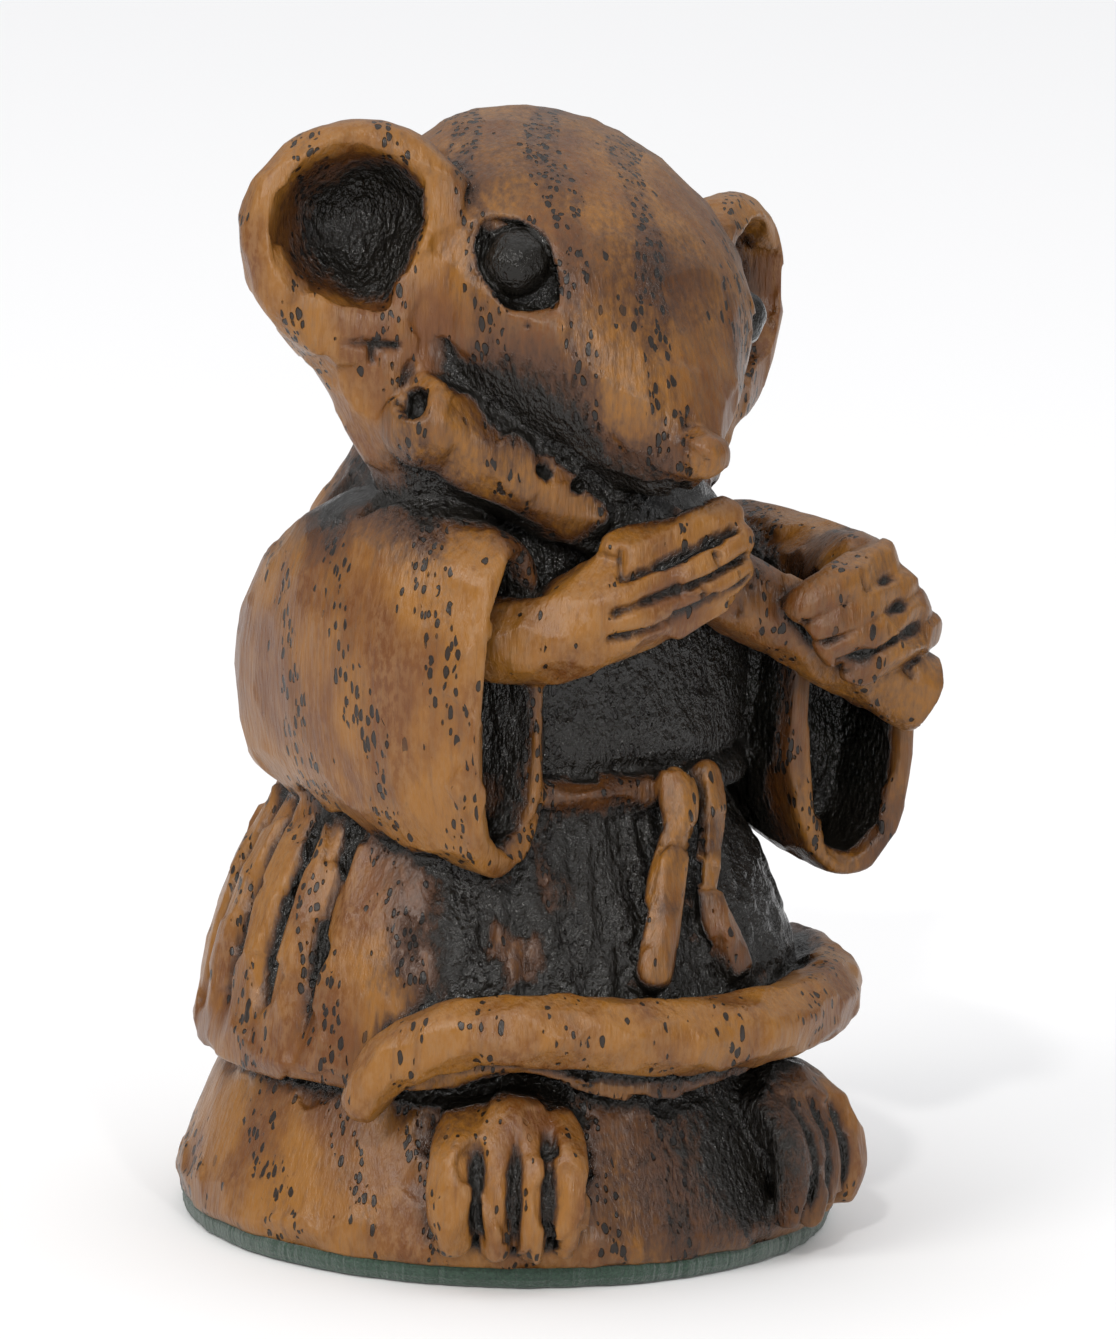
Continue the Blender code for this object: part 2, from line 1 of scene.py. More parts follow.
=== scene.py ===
"""The looks of a small cast figurine: a mouse in a friar's robe plays a flute, on a base with a felt pad.

The casting's forms are closed shells in one mesh, as in the CAD, in a unit that is a share of its height.
A voxel remesh makes them one skin. Its vertices are then moved for knife facets, lumps, cuts and strokes,
and each holds how much dark stain and painted shade lies round it, and how much wear and painted highlight,
which the resin's material reads.
The figure faces -Y, its left is +X, and Z is up from the underside of the felt.
"""

import math
from itertools import product

import bmesh
import bpy
import numpy as np
from mathutils import Matrix, Vector
from mathutils.bvhtree import BVHTree
from mathutils.kdtree import KDTree


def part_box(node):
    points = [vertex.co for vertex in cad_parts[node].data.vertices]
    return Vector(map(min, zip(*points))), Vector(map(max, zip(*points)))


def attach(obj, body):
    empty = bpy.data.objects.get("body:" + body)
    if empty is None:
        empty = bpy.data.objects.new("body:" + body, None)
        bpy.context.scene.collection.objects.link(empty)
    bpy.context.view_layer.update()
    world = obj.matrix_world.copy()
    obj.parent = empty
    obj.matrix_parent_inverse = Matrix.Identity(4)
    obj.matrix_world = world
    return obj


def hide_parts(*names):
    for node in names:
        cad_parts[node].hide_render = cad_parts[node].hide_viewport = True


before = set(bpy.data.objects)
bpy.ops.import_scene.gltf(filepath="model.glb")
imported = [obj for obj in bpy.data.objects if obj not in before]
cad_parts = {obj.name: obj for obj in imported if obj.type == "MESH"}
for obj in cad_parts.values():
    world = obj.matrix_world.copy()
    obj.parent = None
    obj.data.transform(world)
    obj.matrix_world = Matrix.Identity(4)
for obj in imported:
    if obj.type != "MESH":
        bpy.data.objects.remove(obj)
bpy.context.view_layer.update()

# The figure's own unit, from the frame: its height is 72.3 of them, and its underside is their zero
FIGURE_LOW, FIGURE_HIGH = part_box("mouse_figure")
UNIT = (FIGURE_HIGH.z - FIGURE_LOW.z) / 72.3
FELT_LOW, FELT_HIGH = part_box("felt_pad")

# Skin of the casting, in figure units
FIRST_VOXEL = 0.30
VOXEL = 0.21
SMOOTHING = 0.5
SMOOTHING_PASSES = 3
MOST_TRIANGLES = 196000

# Base
BASE_RADIUS = 21.2
BASE_PROFILE = ((0.0, 0.0), (1.2, 0.5), (3.0, 0.1), (6.0, -1.0), (9.0, -2.3), (12.0, -3.8))

# Robe
HEM_HEIGHT = 10.3
WAIST_HEIGHT = 28.4
HEM_RADIUS = 20.8
WAIST_RADIUS = 14.3
WAIST_LEAN = -0.5
WAIST_LEAN_WAY = math.radians(58)
SKIRT_BULGE = 1.5
PLEAT_SPACING = math.radians(12.5)
PLEAT_FIRST = math.radians(72.6)
PLEAT_DEPTH = 1.9
FRONT_SET_BACK = 1.6
FRONT_HALF_WIDTH = math.radians(30)
FRONT_FADE = math.radians(26)
HIP_SET_BACK = 1.5
HIP_ANGLE = math.radians(62)
HIP_WIDTH = math.radians(28)
FOOT_ANGLE = math.radians(31)
HEM_ARCH = 1.9
HEM_ARCH_WIDTH = math.radians(15)

# Head
HEAD_CENTRE = Vector((-1.1, -4.2, 61.5))
HEAD_YAW = math.radians(4.4)
HEAD_PITCH = math.radians(32.6)
HEAD_ROLL = math.radians(12.8)
EYE_CENTRES = (Vector((-9.63, -6.0, 4.15)), Vector((10.2, -6.6, 3.1)))
EYE_RADIUS = 2.1
EYE_FACING = Vector((-0.74, -0.52, 0.43))
EYE_SLANT = Vector((0.44, -0.85, -0.28))
SOCKET_HALF_LENGTH = 4.1
SOCKET_HALF_WIDTH = 2.6
SOCKET_DEPTH = 0.6
EAR_CENTRES = (Vector((-15.8, 0.15, -0.6)), Vector((16.6, -0.1, -0.85)))
EAR_FACINGS = (Vector((-0.37, -0.92, 0.10)), Vector((0.60, -0.80, -0.04)))
EAR_HOLLOW_OUTLINE = (
    (-180, 5.3),
    (-140, 5.0),
    (-102, 4.8),
    (-72, 5.6),
    (-49, 4.5),
    (-18, 4.1),
    (27, 5.3),
    (90, 5.2),
    (180, 5.3),
)
EAR_HOLLOW_OFFSET = Vector((-0.65, 1.2, 0))

# Sleeves, along rows of (x, y, low, high, half width)
SLEEVE_WALL = 1.5
RIGHT_SLEEVE_DEPTH = 7.0
LEFT_SLEEVE_DEPTH = 6.0
RIGHT_SLEEVE_ROWS = (
    (-3.0, 5.6, 32.0, 42.5, 4.4),
    (-11.5, 7.2, 27.8, 43.0, 4.5),
    (-13.1, -0.5, 27.0, 47.4, 5.2),
    (-12.4, -8.6, 25.8, 48.2, 5.2),
    (-10.0, -14.9, 24.8, 46.2, 4.4),
)
LEFT_SLEEVE_ROWS = (
    (3.0, 5.6, 32.0, 42.5, 4.4),
    (12.6, 7.0, 28.0, 42.6, 5.0),
    (16.4, 0.5, 25.4, 44.8, 5.5),
    (18.2, -5.6, 22.8, 44.6, 5.0),
    (18.8, -11.2, 21.7, 44.2, 4.5),
)
RIGHT_OPENING = Vector((0.42, -0.907, 0))
LEFT_OPENING = Vector((-0.18, -0.984, 0))

# Belt
BELT_RADIUS = 14.3
BELT_HEIGHT = 29.2
BELT_THICKNESS = 0.95
KNOT_ANGLE = math.radians(16)

# Flute
FLUTE_BLOWN_END = Vector((-12.2, -10.8, 52.7))
FLUTE_FAR_END = Vector((20.7, -16.5, 34.2))
FLUTE_RADIUS = 2.6
FLUTE_BORE_RADIUS = 1.15
FLUTE_BORE_DEPTH = 1.6
BLOWN_HOLE_PLACE = Vector((-13.3, -10.6, 53.3))
BLOWN_HOLE_WAY = Vector((-0.770, -0.322, 0.551))
KNOB_RADIUS = 3.0
FINGER_HOLES = ((0.165, 0.48), (0.235, 0.42), (0.60, 0.50), (0.663, 0.34), (0.94, 0.52))


def direction(angle):
    """The level direction at an angle from the front, positive towards the figure's left."""
    return Vector((math.sin(angle), -math.cos(angle), 0))


def curve_point(p, q, r, s, t):
    """A smooth curve's value at a share t of the way from q to r, where p and s are their neighbours."""
    return 0.5 * (2 * q + (r - p) * t + (2 * p - 5 * q + 4 * r - s) * t**2 + (3 * q - p - 3 * r + s) * t**3)


def eased(rows, steps):
    """A smooth run of rows through the given ones."""
    held = [rows[0], *rows, rows[-1]]
    run = []
    for four in zip(held, held[1:], held[2:], held[3:]):
        for step in range(steps):
            run.append(tuple(curve_point(*values, step / steps) for values in zip(*four)))
    run.append(tuple(rows[-1]))
    return run


def shell(body, loops):
    """A closed shell through loops of points, with flat ends."""
    rings = [[body.verts.new(point) for point in loop] for loop in loops]
    count = len(rings[0])
    faces = [body.faces.new(rings[0][::-1]), body.faces.new(rings[-1])]
    for lower, upper in zip(rings, rings[1:]):
        for i in range(count):
            j = (i + 1) % count
            faces.append(body.faces.new((lower[i], lower[j], upper[j], upper[i])))
    bmesh.ops.recalc_face_normals(body, faces=faces)


def oval(count, half_width, up, down, power, top_power=None):
    """An outline of superellipse quarters, as (across, height) pairs."""
    points = []
    for i in range(count):
        angle = 2 * math.pi * i / count
        c, s = math.cos(angle), math.sin(angle)
        bend = 2 / (top_power or power) if s > 0 else 2 / power
        across = math.copysign(abs(c) ** bend, c) * half_width
        height = math.copysign(abs(s) ** bend, s) * (up if s > 0 else down)
        points.append((across, height))
    return points


def tube(body, rows, steps=10, sides=40, flat=1.0, flat_way=Vector((0, 0, 1))):
    """A round-ended rod through rows of (x, y, z, radius). Below 1, flat thins it along flat_way."""
    run = eased(rows, steps)
    centres = [Vector(row[:3]) for row in run]
    radii = [row[3] for row in run]
    ahead = [(b - a).normalized() for a, b in zip(centres, centres[1:])]
    ahead = [ahead[0], *[(a + b).normalized() for a, b in zip(ahead, ahead[1:])], ahead[-1]]
    side = ahead[0].orthogonal().normalized()
    loops = []

    def ring(centre, way, radius):
        across = way.cross(side)
        loop = []
        for i in range(sides):
            angle = 2 * math.pi * i / sides
            offset = (side * math.cos(angle) + across * math.sin(angle)) * radius
            offset -= flat_way * (offset.dot(flat_way) * (1 - flat))
            loop.append(centre + offset)
        loops.append(loop)

    cap_angles = [math.radians(degrees) for degrees in (84, 70, 56, 42, 28, 14)]
    for angle in cap_angles:
        ring(centres[0] - ahead[0] * radii[0] * math.sin(angle), ahead[0], radii[0] * math.cos(angle))
    for centre, way, radius in zip(centres, ahead, radii):
        side = (side - way * side.dot(way)).normalized()
        ring(centre, way, radius)
    for angle in reversed(cap_angles):
        ring(centres[-1] + ahead[-1] * radii[-1] * math.sin(angle), ahead[-1], radii[-1] * math.cos(angle))
    shell(body, loops)


def blob(body, centre, radii, turn=Matrix.Identity(3)):
    """An ellipsoid."""
    place = Matrix.Translation(centre) @ turn.to_4x4() @ Matrix.Diagonal((*radii, 1))
    bmesh.ops.create_uvsphere(body, u_segments=64, v_segments=40, radius=1, matrix=place)


def turned(body, place, profile, sides=80, reach=lambda angle, radius: radius):
    """A shell turned about its own Z axis from (height, radius) pairs, where reach bends the outline."""
    loops = []
    for height, radius in profile:
        loop = []
        for i in range(sides):
            angle = 2 * math.pi * i / sides
            out = reach(angle, radius)
            loop.append(place @ Vector((out * math.cos(angle), out * math.sin(angle), height)))
        loops.append(loop)
    shell(body, loops)


def base(body):
    profile = [(height, BASE_RADIUS + change) for height, change in eased(BASE_PROFILE, 8)]
    turned(body, Matrix.Identity(4), profile, sides=240)


def pleat_cut(angle):
    """How deep the pleats cut at an angle from the front, from 0 on a crest to 1 in a valley."""
    turned_to = abs(angle) - PLEAT_FIRST
    if turned_to < -PLEAT_SPACING / 2:
        return 0.0
    wave = abs(math.cos(math.pi * turned_to / PLEAT_SPACING))
    return wave**7


def hem_height(angle):
    """The hem arches over each foot."""
    arches = sum(math.exp(-(((angle - foot) / HEM_ARCH_WIDTH) ** 2)) for foot in (-FOOT_ANGLE, FOOT_ANGLE))
    return HEM_HEIGHT + HEM_ARCH * arches


def front_flatness(angle):
    """From 0 at the pleated sides to 1 over the plain front."""
    off = abs(angle) - FRONT_HALF_WIDTH
    share = min(1, max(0, 1 - off / FRONT_FADE))
    return share * share * (3 - 2 * share)


def skirt(body):
    sides = 720
    shares = [0, 0.04, 0.1, 0.2, 0.32, 0.45, 0.58, 0.7, 0.82, 0.92, 1.0]
    angles = [2 * math.pi * i / sides - math.pi for i in range(sides)]
    loops = [[direction(a) * (HEM_RADIUS - 4) + Vector((0, 0, hem_height(a) + 2)) for a in angles]]
    loops.append([direction(a) * (HEM_RADIUS - 1.6) + Vector((0, 0, hem_height(a) + 0.3)) for a in angles])
    for share in shares:
        loop = []
        for angle in angles:
            low = hem_height(angle)
            height = low + (WAIST_HEIGHT - low) * share
            radius = HEM_RADIUS + (WAIST_RADIUS - HEM_RADIUS) * share
            radius += SKIRT_BULGE * math.sin(math.pi * share)
            radius += WAIST_LEAN * share * math.cos(angle - WAIST_LEAN_WAY)
            radius -= FRONT_SET_BACK * front_flatness(angle) * math.sin(math.pi * share) ** 0.7
            hip = math.exp(-(((angle - HIP_ANGLE) / HIP_WIDTH) ** 2))
            radius -= HIP_SET_BACK * hip * (1 - 0.4 * share)
            radius -= 0.6 * (1 - share / 0.04) if share < 0.04 else 0
            fade = min(1, max(0, (share - 0.12) / 0.25)) * (1 - 0.45 * share)
            radius -= PLEAT_DEPTH * pleat_cut(angle) * fade
            loop.append(direction(angle) * radius + Vector((0, 0, height)))
        loops.append(loop)
    shell(body, loops)


def torso(body):
    rows = (
        (26.0, 11.6, 11.6, 0.0),
        (28.5, 12.6, 12.0, 0.0),
        (29.8, 12.8, 12.2, 0.0),
        (31.2, 14.4, 13.4, 0.0),
        (35.0, 15.0, 13.0, 0.0),
        (40.0, 14.8, 12.4, 0.0),
        (44.0, 14.4, 12.0, 0.0),
        (48.0, 11.6, 10.4, 0.2),
        (51.0, 10.0, 9.6, 0.0),
        (54.5, 9.4, 9.2, -1.0),
        (60.0, 8.8, 8.8, -2.0),
    )
    loops = []
    for height, half_width, half_depth, centre_y in eased(rows, 3):
        outline = oval(160, half_width, half_depth, half_depth, 2.3)
        loops.append([Vector((x, y + centre_y, height)) for x, y in outline])
    shell(body, loops)


def sleeve(body, rows, opening, depth):
    """A hanging sleeve along rows of (x, y, low, high, half width), hollow behind its opening."""
    run = eased(rows, 12)
    loops = []

    def section(x, y, low, high, half_width, way):
        across = Vector((-way.y, way.x, 0))
        outline = oval(120, half_width, (high - low) / 2, (high - low) / 2, 2.5, 2.0)
        middle = Vector((x, y, (low + high) / 2))
        loops.append([middle + across * a + Vector((0, 0, h)) for a, h in outline])

    first, second = Vector(run[0][:2]), Vector(run[1][:2])
    way = (second - first).normalized().to_3d()
    for back, share in ((2.2, 0.35), (1.5, 0.7), (0.7, 0.9)):
        x, y, low, high, half_width = run[0]
        shrink = (high - low) / 2 * (1 - share)
        section(x - way.x * back, y - way.y * back, low + shrink, high - shrink, half_width * share, way)
    for i, (x, y, low, high, half_width) in enumerate(run):
        after, before = run[min(i + 1, len(run) - 1)], run[max(i - 1, 0)]
        way = Vector((after[0] - before[0], after[1] - before[1], 0)).normalized()
        if i == len(run) - 1:
            way = opening
        section(x, y, low, high, half_width, way)
    x, y, low, high, half_width = run[-1]
    for ahead, share in ((0.45, 0.3), (0.5, 0.7), (0.1, 1.0), (-1.2, 1.1), (-depth, 1.6)):
        inset = SLEEVE_WALL * share
        ring_x, ring_y = x + opening.x * ahead, y + opening.y * ahead
        section(ring_x, ring_y, low + inset, high - inset, half_width - inset, opening)
    shell(body, loops)


def sleeves(body):
    sleeve(body, RIGHT_SLEEVE_ROWS, RIGHT_OPENING, RIGHT_SLEEVE_DEPTH)
    sleeve(body, LEFT_SLEEVE_ROWS, LEFT_OPENING, LEFT_SLEEVE_DEPTH)


def head_frame():
    """The head's frame: it looks along its own -Y, and its Z axis runs to the crown."""
    nod = Matrix.Rotation(HEAD_PITCH, 4, "X") @ Matrix.Rotation(HEAD_ROLL, 4, "Y")
    return Matrix.Translation(HEAD_CENTRE) @ Matrix.Rotation(HEAD_YAW, 4, "Z") @ nod


def skull(body):
    """The skull and snout along the head's own -Y: (ahead, half width, up, down)."""
    rows = (
        (-12.2, 1.5, 1.0, 1.5),
        (-11.0, 5.0, 4.2, 6.0),
        (-7.0, 9.8, 7.8, 10.0),
        (-2.0, 12.4, 9.4, 11.0),
        (3.0, 12.8, 9.6, 10.0),
        (8.0, 11.4, 8.6, 8.2),
        (12.0, 8.4, 6.2, 6.6),
        (15.5, 5.2, 3.8, 5.4),
        (17.8, 2.9, 2.0, 4.0),
        (19.2, 1.5, 0.9, 2.2),
    )
    place = head_frame()
    loops = []
    for ahead, half_width, up, down in eased(rows, 9):
        outline = oval(144, half_width, up, down, 2.15)
        loops.append([place @ Vector((x, -ahead, z)) for x, z in outline])
    shell(body, loops)
    blob(body, place @ Vector((-0.1, -19.2, 0.8)), (1.75, 1.75, 1.6))
    blob(body, place @ Vector((0, -15.6, -2.6)), (3.0, 3.4, 2.2), place.to_3x3())


def ear_places():
    """Each ear's frame: its Z axis is the way the ear faces, and its Y axis is up."""
    places = []
    for centre, facing in zip(EAR_CENTRES, EAR_FACINGS):
        facing = facing.normalized()
        level = Vector((0, 0, 1)).cross(facing).normalized()
        turn = Matrix((level, facing.cross(level), facing)).transposed()
        places.append(Matrix.Translation(head_frame() @ centre) @ turn.to_4x4())
    return places


def ears(body):
    """Each ear is a thick bowl on two roots that run down to the neck, and a bridge in to the skull."""
    bowl = (
        (-6.0, 2.5),
        (-5.2, 4.4),
        (-3.4, 6.4),
        (-1.2, 7.6),
        (0.4, 7.8),
        (1.4, 7.4),
        (1.9, 6.5),
        (2.0, 4.0),
    )
    inner_root = ((1.2, -2.0, -4.3, 5.9), (4.2, -8.0, -3.6, 5.4), (6.6, -14.0, -4.2, 5.0))
    outer_root = (
        (-1.8, -3.4, -1.9, 3.6),
        (0.6, -6.1, -1.9, 3.6),
        (2.5, -9.2, -2.2, 3.7),
        (3.9, -11.4, -2.8, 3.8),
    )
    bridge = ((1.0, 0.0, -2.6, 4.0), (7.0, 0.0, -4.6, 6.2))
    for place, inward in zip(ear_places(), (1, -1)):
        narrow = math.radians(-90 - 55 * inward)

        def reach(angle, radius):
            off = (angle - narrow + math.pi) % (2 * math.pi) - math.pi
            return radius * (1 - 0.08 * math.exp(-((off / 0.6) ** 2)))

        turned(body, place, eased(bowl, 5), 120, reach)
        for rod in (inner_root, outer_root, bridge):
            tube(body, [(*(place @ Vector((x * inward, y, z))), radius) for x, y, z, radius in rod])
        blob(body, place @ Vector((6.4 * inward, -1.6, -2.7)), (3.8, 6.8, 4.5), place.to_3x3())


def flute_frame():
    """The flute's frame: its Z axis runs from the blown end to the far end."""
    along = (FLUTE_FAR_END - FLUTE_BLOWN_END).normalized()
    side = Vector((0, 0, 1)).cross(along).normalized()
    turn = Matrix((side, along.cross(side), along)).transposed()
    return Matrix.Translation(FLUTE_BLOWN_END) @ turn.to_4x4()


def flute(body):
    """A stick that swells to a knob at the blown end and is cut square at the far end."""
    length = (FLUTE_FAR_END - FLUTE_BLOWN_END).length
    knob = ((-2.7, 0.5), (-2.4, 1.5), (-1.3, 2.45), (0.5, 2.8), (3.5, 3.15), (8.0, 3.05), (14.0, 2.75))
    stick = ((length * 0.6, 2.6), (length * 0.8, 2.5), (length, 2.5))
    turned(body, flute_frame(), eased(knob + stick, 6), 72)
    blob(body, BLOWN_HOLE_PLACE, (KNOB_RADIUS,) * 3)


def fingers(body, knuckles, bends, tips, radii, knuckle_share):
    for knuckle, bend, tip, radius in zip(knuckles, bends, tips, radii):
        tube(body, ((*knuckle, radius * knuckle_share), (*bend, radius), (*tip, radius * 0.85)))


def hands(body):
    """A bare forearm in each sleeve, and four fingers over the flute on each hand."""
    forearm = (
        (-10.5, -11.5, 39.5, 2.7),
        (-7.2, -14.6, 39.7, 2.8),
        (-3.6, -16.4, 41.6, 3.3),
        (-1.6, -16.6, 42.8, 3.2),
    )
    tube(body, forearm)
    knuckles = ((-3.2, -17.2, 45.2), (-3.0, -18.2, 43.3), (-3.1, -18.0, 41.4), (-3.2, -17.0, 39.8))
    bends = ((1.0, -17.8, 46.3), (1.0, -19.0, 44.5), (0.8, -19.0, 42.6), (0.8, -18.0, 40.9))
    tips = ((4.2, -17.6, 47.2), (4.6, -18.7, 45.8), (4.6, -18.7, 43.9), (4.2, -18.0, 42.2))
    fingers(body, knuckles, bends, tips, (1.35, 1.15, 1.1, 1.05), 1.1)
    palm = Vector((0.6, -15.6, 43.2))
    blob(body, palm, (4.6, 2.6, 3.6))

    far_forearm = ((18.6, -6.0, 40.5, 3.2), (17.6, -11.5, 41.5, 3.0), (16.6, -14.6, 42.0, 2.8))
    tube(body, far_forearm)
    knuckles = ((16.7, -16.8, 43.4), (18.0, -17.2, 41.9), (19.2, -17.2, 40.3), (20.5, -16.8, 38.7))
    bends = ((12.8, -18.6, 42.6), (13.9, -19.1, 41.1), (15.0, -19.2, 39.6), (16.7, -19.0, 38.0))
    tips = ((9.9, -18.4, 41.2), (11.0, -18.8, 39.7), (11.9, -18.8, 38.2), (13.9, -18.7, 36.7))
    fingers(body, knuckles, bends, tips, (1.3, 1.15, 1.15, 1.05), 1.05)


def cord_belt(body):
    """A cord round the waist."""
    run = []
    for i in range(49):
        point = direction(math.radians(-180 + 7.5 * i)) * BELT_RADIUS
        run.append((point.x, point.y * 0.97, BELT_HEIGHT, BELT_THICKNESS))
    tube(body, run, steps=3)


def cord_ends(body):
    """Two flared ends hang from the knot: (degrees from the front, height, reach, half width)."""
    left_end = (
        (10, 29.9, 15.3, 1.15),
        (9.5, 28.6, 15.9, 1.3),
        (8, 27.0, 16.4, 1.1),
        (4.5, 25.0, 16.9, 1.15),
        (1, 22.0, 17.7, 1.3),
        (-2.5, 18.4, 18.7, 1.25),
    )
    right_end = (
        (21, 29.8, 15.4, 0.95),
        (20.5, 28.3, 15.9, 1.0),
        (18.5, 25.8, 16.4, 0.85),
        (16, 23.6, 16.9, 0.85),
        (15.5, 21.8, 17.4, 0.95),
        (17.5, 19.8, 18.0, 1.15),
        (19.5, 17.8, 18.6, 1.0),
    )
    for end in (left_end, right_end):
        points = []
        for degrees, height, reach, half_width in end:
            point = direction(math.radians(degrees)) * reach + Vector((0, 0, height))
            points.append((*point, half_width))
        tube(body, points, flat=0.72, flat_way=direction(KNOT_ANGLE))


def tail(body):
    """From the back round the figure's left side, its tip on the right of the front."""
    rows = (
        (0.0, 17.0, 12.5, 3.0),
        (9.0, 17.4, 13.2, 2.8),
        (16.0, 12.0, 13.4, 2.6),
        (19.6, 3.0, 13.6, 2.5),
        (19.1, -6.5, 14.4, 2.3),
        (15.4, -14.0, 14.5, 2.35),
        (8.4, -19.2, 14.4, 2.35),
        (0.0, -21.2, 14.6, 2.3),
        (-8.6, -19.6, 15.5, 2.25),
        (-14.0, -16.6, 15.2, 2.1),
        (-17.0, -13.8, 13.2, 1.85),
        (-18.3, -12.4, 10.6, 1.3),
    )
    tube(body, rows, steps=12)


def feet(body):
    """Each foot droops over the edge of the base, with four toes."""
    for foot, outward in ((-FOOT_ANGLE, -1), (FOOT_ANGLE, 1)):
        blob(body, direction(foot) * (BASE_RADIUS - 2.3) + Vector((0, 0, 6.4)), (4.9, 3.8, 4.8))
        toes = zip((3.5, 0.85, -1.35, -3.6), (1.5, 1.12, 1.08, 1.12), (1.8, 1.3, 1.1, 1.5))
        for across, radius, tip_height in toes:
            angle = foot + outward * across / 22
            way = direction(angle)
            top = way * (BASE_RADIUS - 1.6) + Vector((0, 0, 9.0))
            bend = way * (BASE_RADIUS + 0.8) + Vector((0, 0, 7.2))
            middle = way * (BASE_RADIUS + 1.7) + Vector((0, 0, 4.4))
            tip = way * (BASE_RADIUS + 1.5) + Vector((0, 0, tip_height + 0.6))
            rows = ((*top, radius), (*bend, radius * 1.02), (*middle, radius), (*tip, radius * 0.8))
            tube(body, rows)


def eyeballs(body):
    for centre in EYE_CENTRES:
        blob(body, head_frame() @ centre, (EYE_RADIUS,) * 3)


def linked(name, mesh):
    thing = bpy.data.objects.new(name, mesh)
    bpy.context.scene.collection.objects.link(thing)
    return thing


def mesh_of(body, name):
    """A mesh in figure units from a form."""
    mesh = bpy.data.meshes.new(name)
    body.to_mesh(mesh)
    body.free()
    return mesh


def result_of(thing):
    """The mesh that an object's modifiers make. The object is removed."""
    graph = bpy.context.evaluated_depsgraph_get()
    mesh = bpy.data.meshes.new_from_object(thing.evaluated_get(graph))
    bpy.data.objects.remove(thing, do_unlink=True)
    return mesh


def one_skin(thing, voxel):
    skin = thing.modifiers.new("one skin", "REMESH")
    skin.mode = "VOXEL"
    skin.voxel_size = voxel


def coordinates(mesh, kind="co"):
    """Each vertex's place, or its normal, as rows of three."""
    flat = np.empty(len(mesh.vertices) * 3, np.float32)
    mesh.vertices.foreach_get(kind, flat)
    return flat.reshape(-1, 3).astype(float)


def eased_step(low, high, value):
    share = np.clip((value - low) / (high - low), 0, 1)
    return share * share * (3 - 2 * share)


def local(place, points):
    """Points in a frame's own coordinates."""
    turn = np.array(place.inverted())
    return points @ turn[:3, :3].T + turn[:3, 3]


def pressed(points, place, floor, reach=4.5):
    """Points pushed down a frame's Z axis to a floor, which depends on their place, if within reach of it."""
    inside = local(place, points)
    low = floor(inside[:, 0], inside[:, 1])
    caught = (inside[:, 2] > low) & (np.abs(inside[:, 2]) < reach)
    inside[caught, 2] = low[caught]
    turn = np.array(place)
    moved = inside @ turn[:3, :3].T + turn[:3, 3]
    return np.where(caught[:, None], moved, points)


def ear_hollow_share(points, place, inward):
    """How far points lie out from the middle of an ear's hollow, as a share of its outline there."""
    x, y, _ = local(place, points).T
    x = (x - EAR_HOLLOW_OFFSET.x * inward) * inward
    y = y - EAR_HOLLOW_OFFSET.y
    degrees, radii = zip(*EAR_HOLLOW_OUTLINE)
    return np.hypot(x, y) / np.interp(np.degrees(np.arctan2(y, x)), degrees, radii)


def ear_hollows(points):
    """The hollow of each ear is a bowl that draws to a point at the lobe."""
    shares = (0.12, 0.3, 0.5, 0.68, 0.83, 0.94, 1.0, 1.04)
    heights = (-3.5, -3.3, -2.6, -1.5, -0.1, 1.1, 1.9, 9.0)
    for place, inward in zip(ear_places(), (1, -1)):

        def floor(x, y):
            inside = np.column_stack((x, y, np.zeros(len(x))))
            return np.interp(ear_hollow_share(inside, Matrix.Identity(4), inward), shares, heights)

        points = pressed(points, place, floor)
    return points


def facing_frame(centre, facing, upward):
    """A frame at centre with its Z axis along facing and its X axis near upward."""
    facing = facing.normalized()
    first = (upward - facing * upward.dot(facing)).normalized()
    return Matrix.Translation(centre) @ Matrix((first, facing.cross(first), facing)).transposed().to_4x4()


def eye_sockets(points):
    """Lens-shaped openings, pointed at both ends of their slant."""
    bow = (SOCKET_HALF_LENGTH**2 - SOCKET_HALF_WIDTH**2) / (2 * SOCKET_HALF_WIDTH)
    radius = bow + SOCKET_HALF_WIDTH

    def floor(x, y):
        inside = radius - np.hypot(x, np.abs(y) + bow)
        return np.interp(inside, (-0.02, 0.0, 0.45), (9.0, 2.6, -SOCKET_DEPTH))

    for centre, mirror in zip(EYE_CENTRES, (1, -1)):
        turn = head_frame().to_3x3() @ Matrix.Diagonal((mirror, 1, 1))
        opening = facing_frame(head_frame() @ centre, turn @ EYE_FACING, turn @ EYE_SLANT)
        points = pressed(points, opening, floor)
    return points


def flute_holes(points):
    """The hole at the blown end, and the finger holes along the top."""

    def pit(radius, depth):
        shares = (0.5, 0.8, 1.0, 1.12, 1.14)
        return lambda x, y: np.interp(np.hypot(x, y) / radius, shares, (-depth, -0.7 * depth, 0, 0.5, 9.0))

    along = (FLUTE_FAR_END - FLUTE_BLOWN_END).normalized()
    blown = BLOWN_HOLE_PLACE + BLOWN_HOLE_WAY.normalized() * KNOB_RADIUS
    bore = pit(FLUTE_BORE_RADIUS, FLUTE_BORE_DEPTH)
    points = pressed(points, facing_frame(blown, BLOWN_HOLE_WAY, along), bore, 2.0)
    out = Vector((-0.15, -0.94, 0.30)).normalized()
    for share, radius in FINGER_HOLES:
        top = FLUTE_BLOWN_END.lerp(FLUTE_FAR_END, share) + out * FLUTE_RADIUS
        points = pressed(points, facing_frame(top, out, along), pit(radius, 0.7), 1.6)
    return points


FORMS = (base, skirt, torso, sleeves, skull, ears, flute, hands, cord_belt, cord_ends, tail, feet)


def gathered(forms):
    """One mesh of several forms, each made by itself, and the count of vertices up to each one's end."""
    whole = bmesh.new()
    ends = []
    for form in forms:
        body = bmesh.new()
        form(body)
        mesh = mesh_of(body, "form")
        whole.from_mesh(mesh)
        bpy.data.meshes.remove(mesh)
        ends.append(len(whole.verts))
    return whole, ends


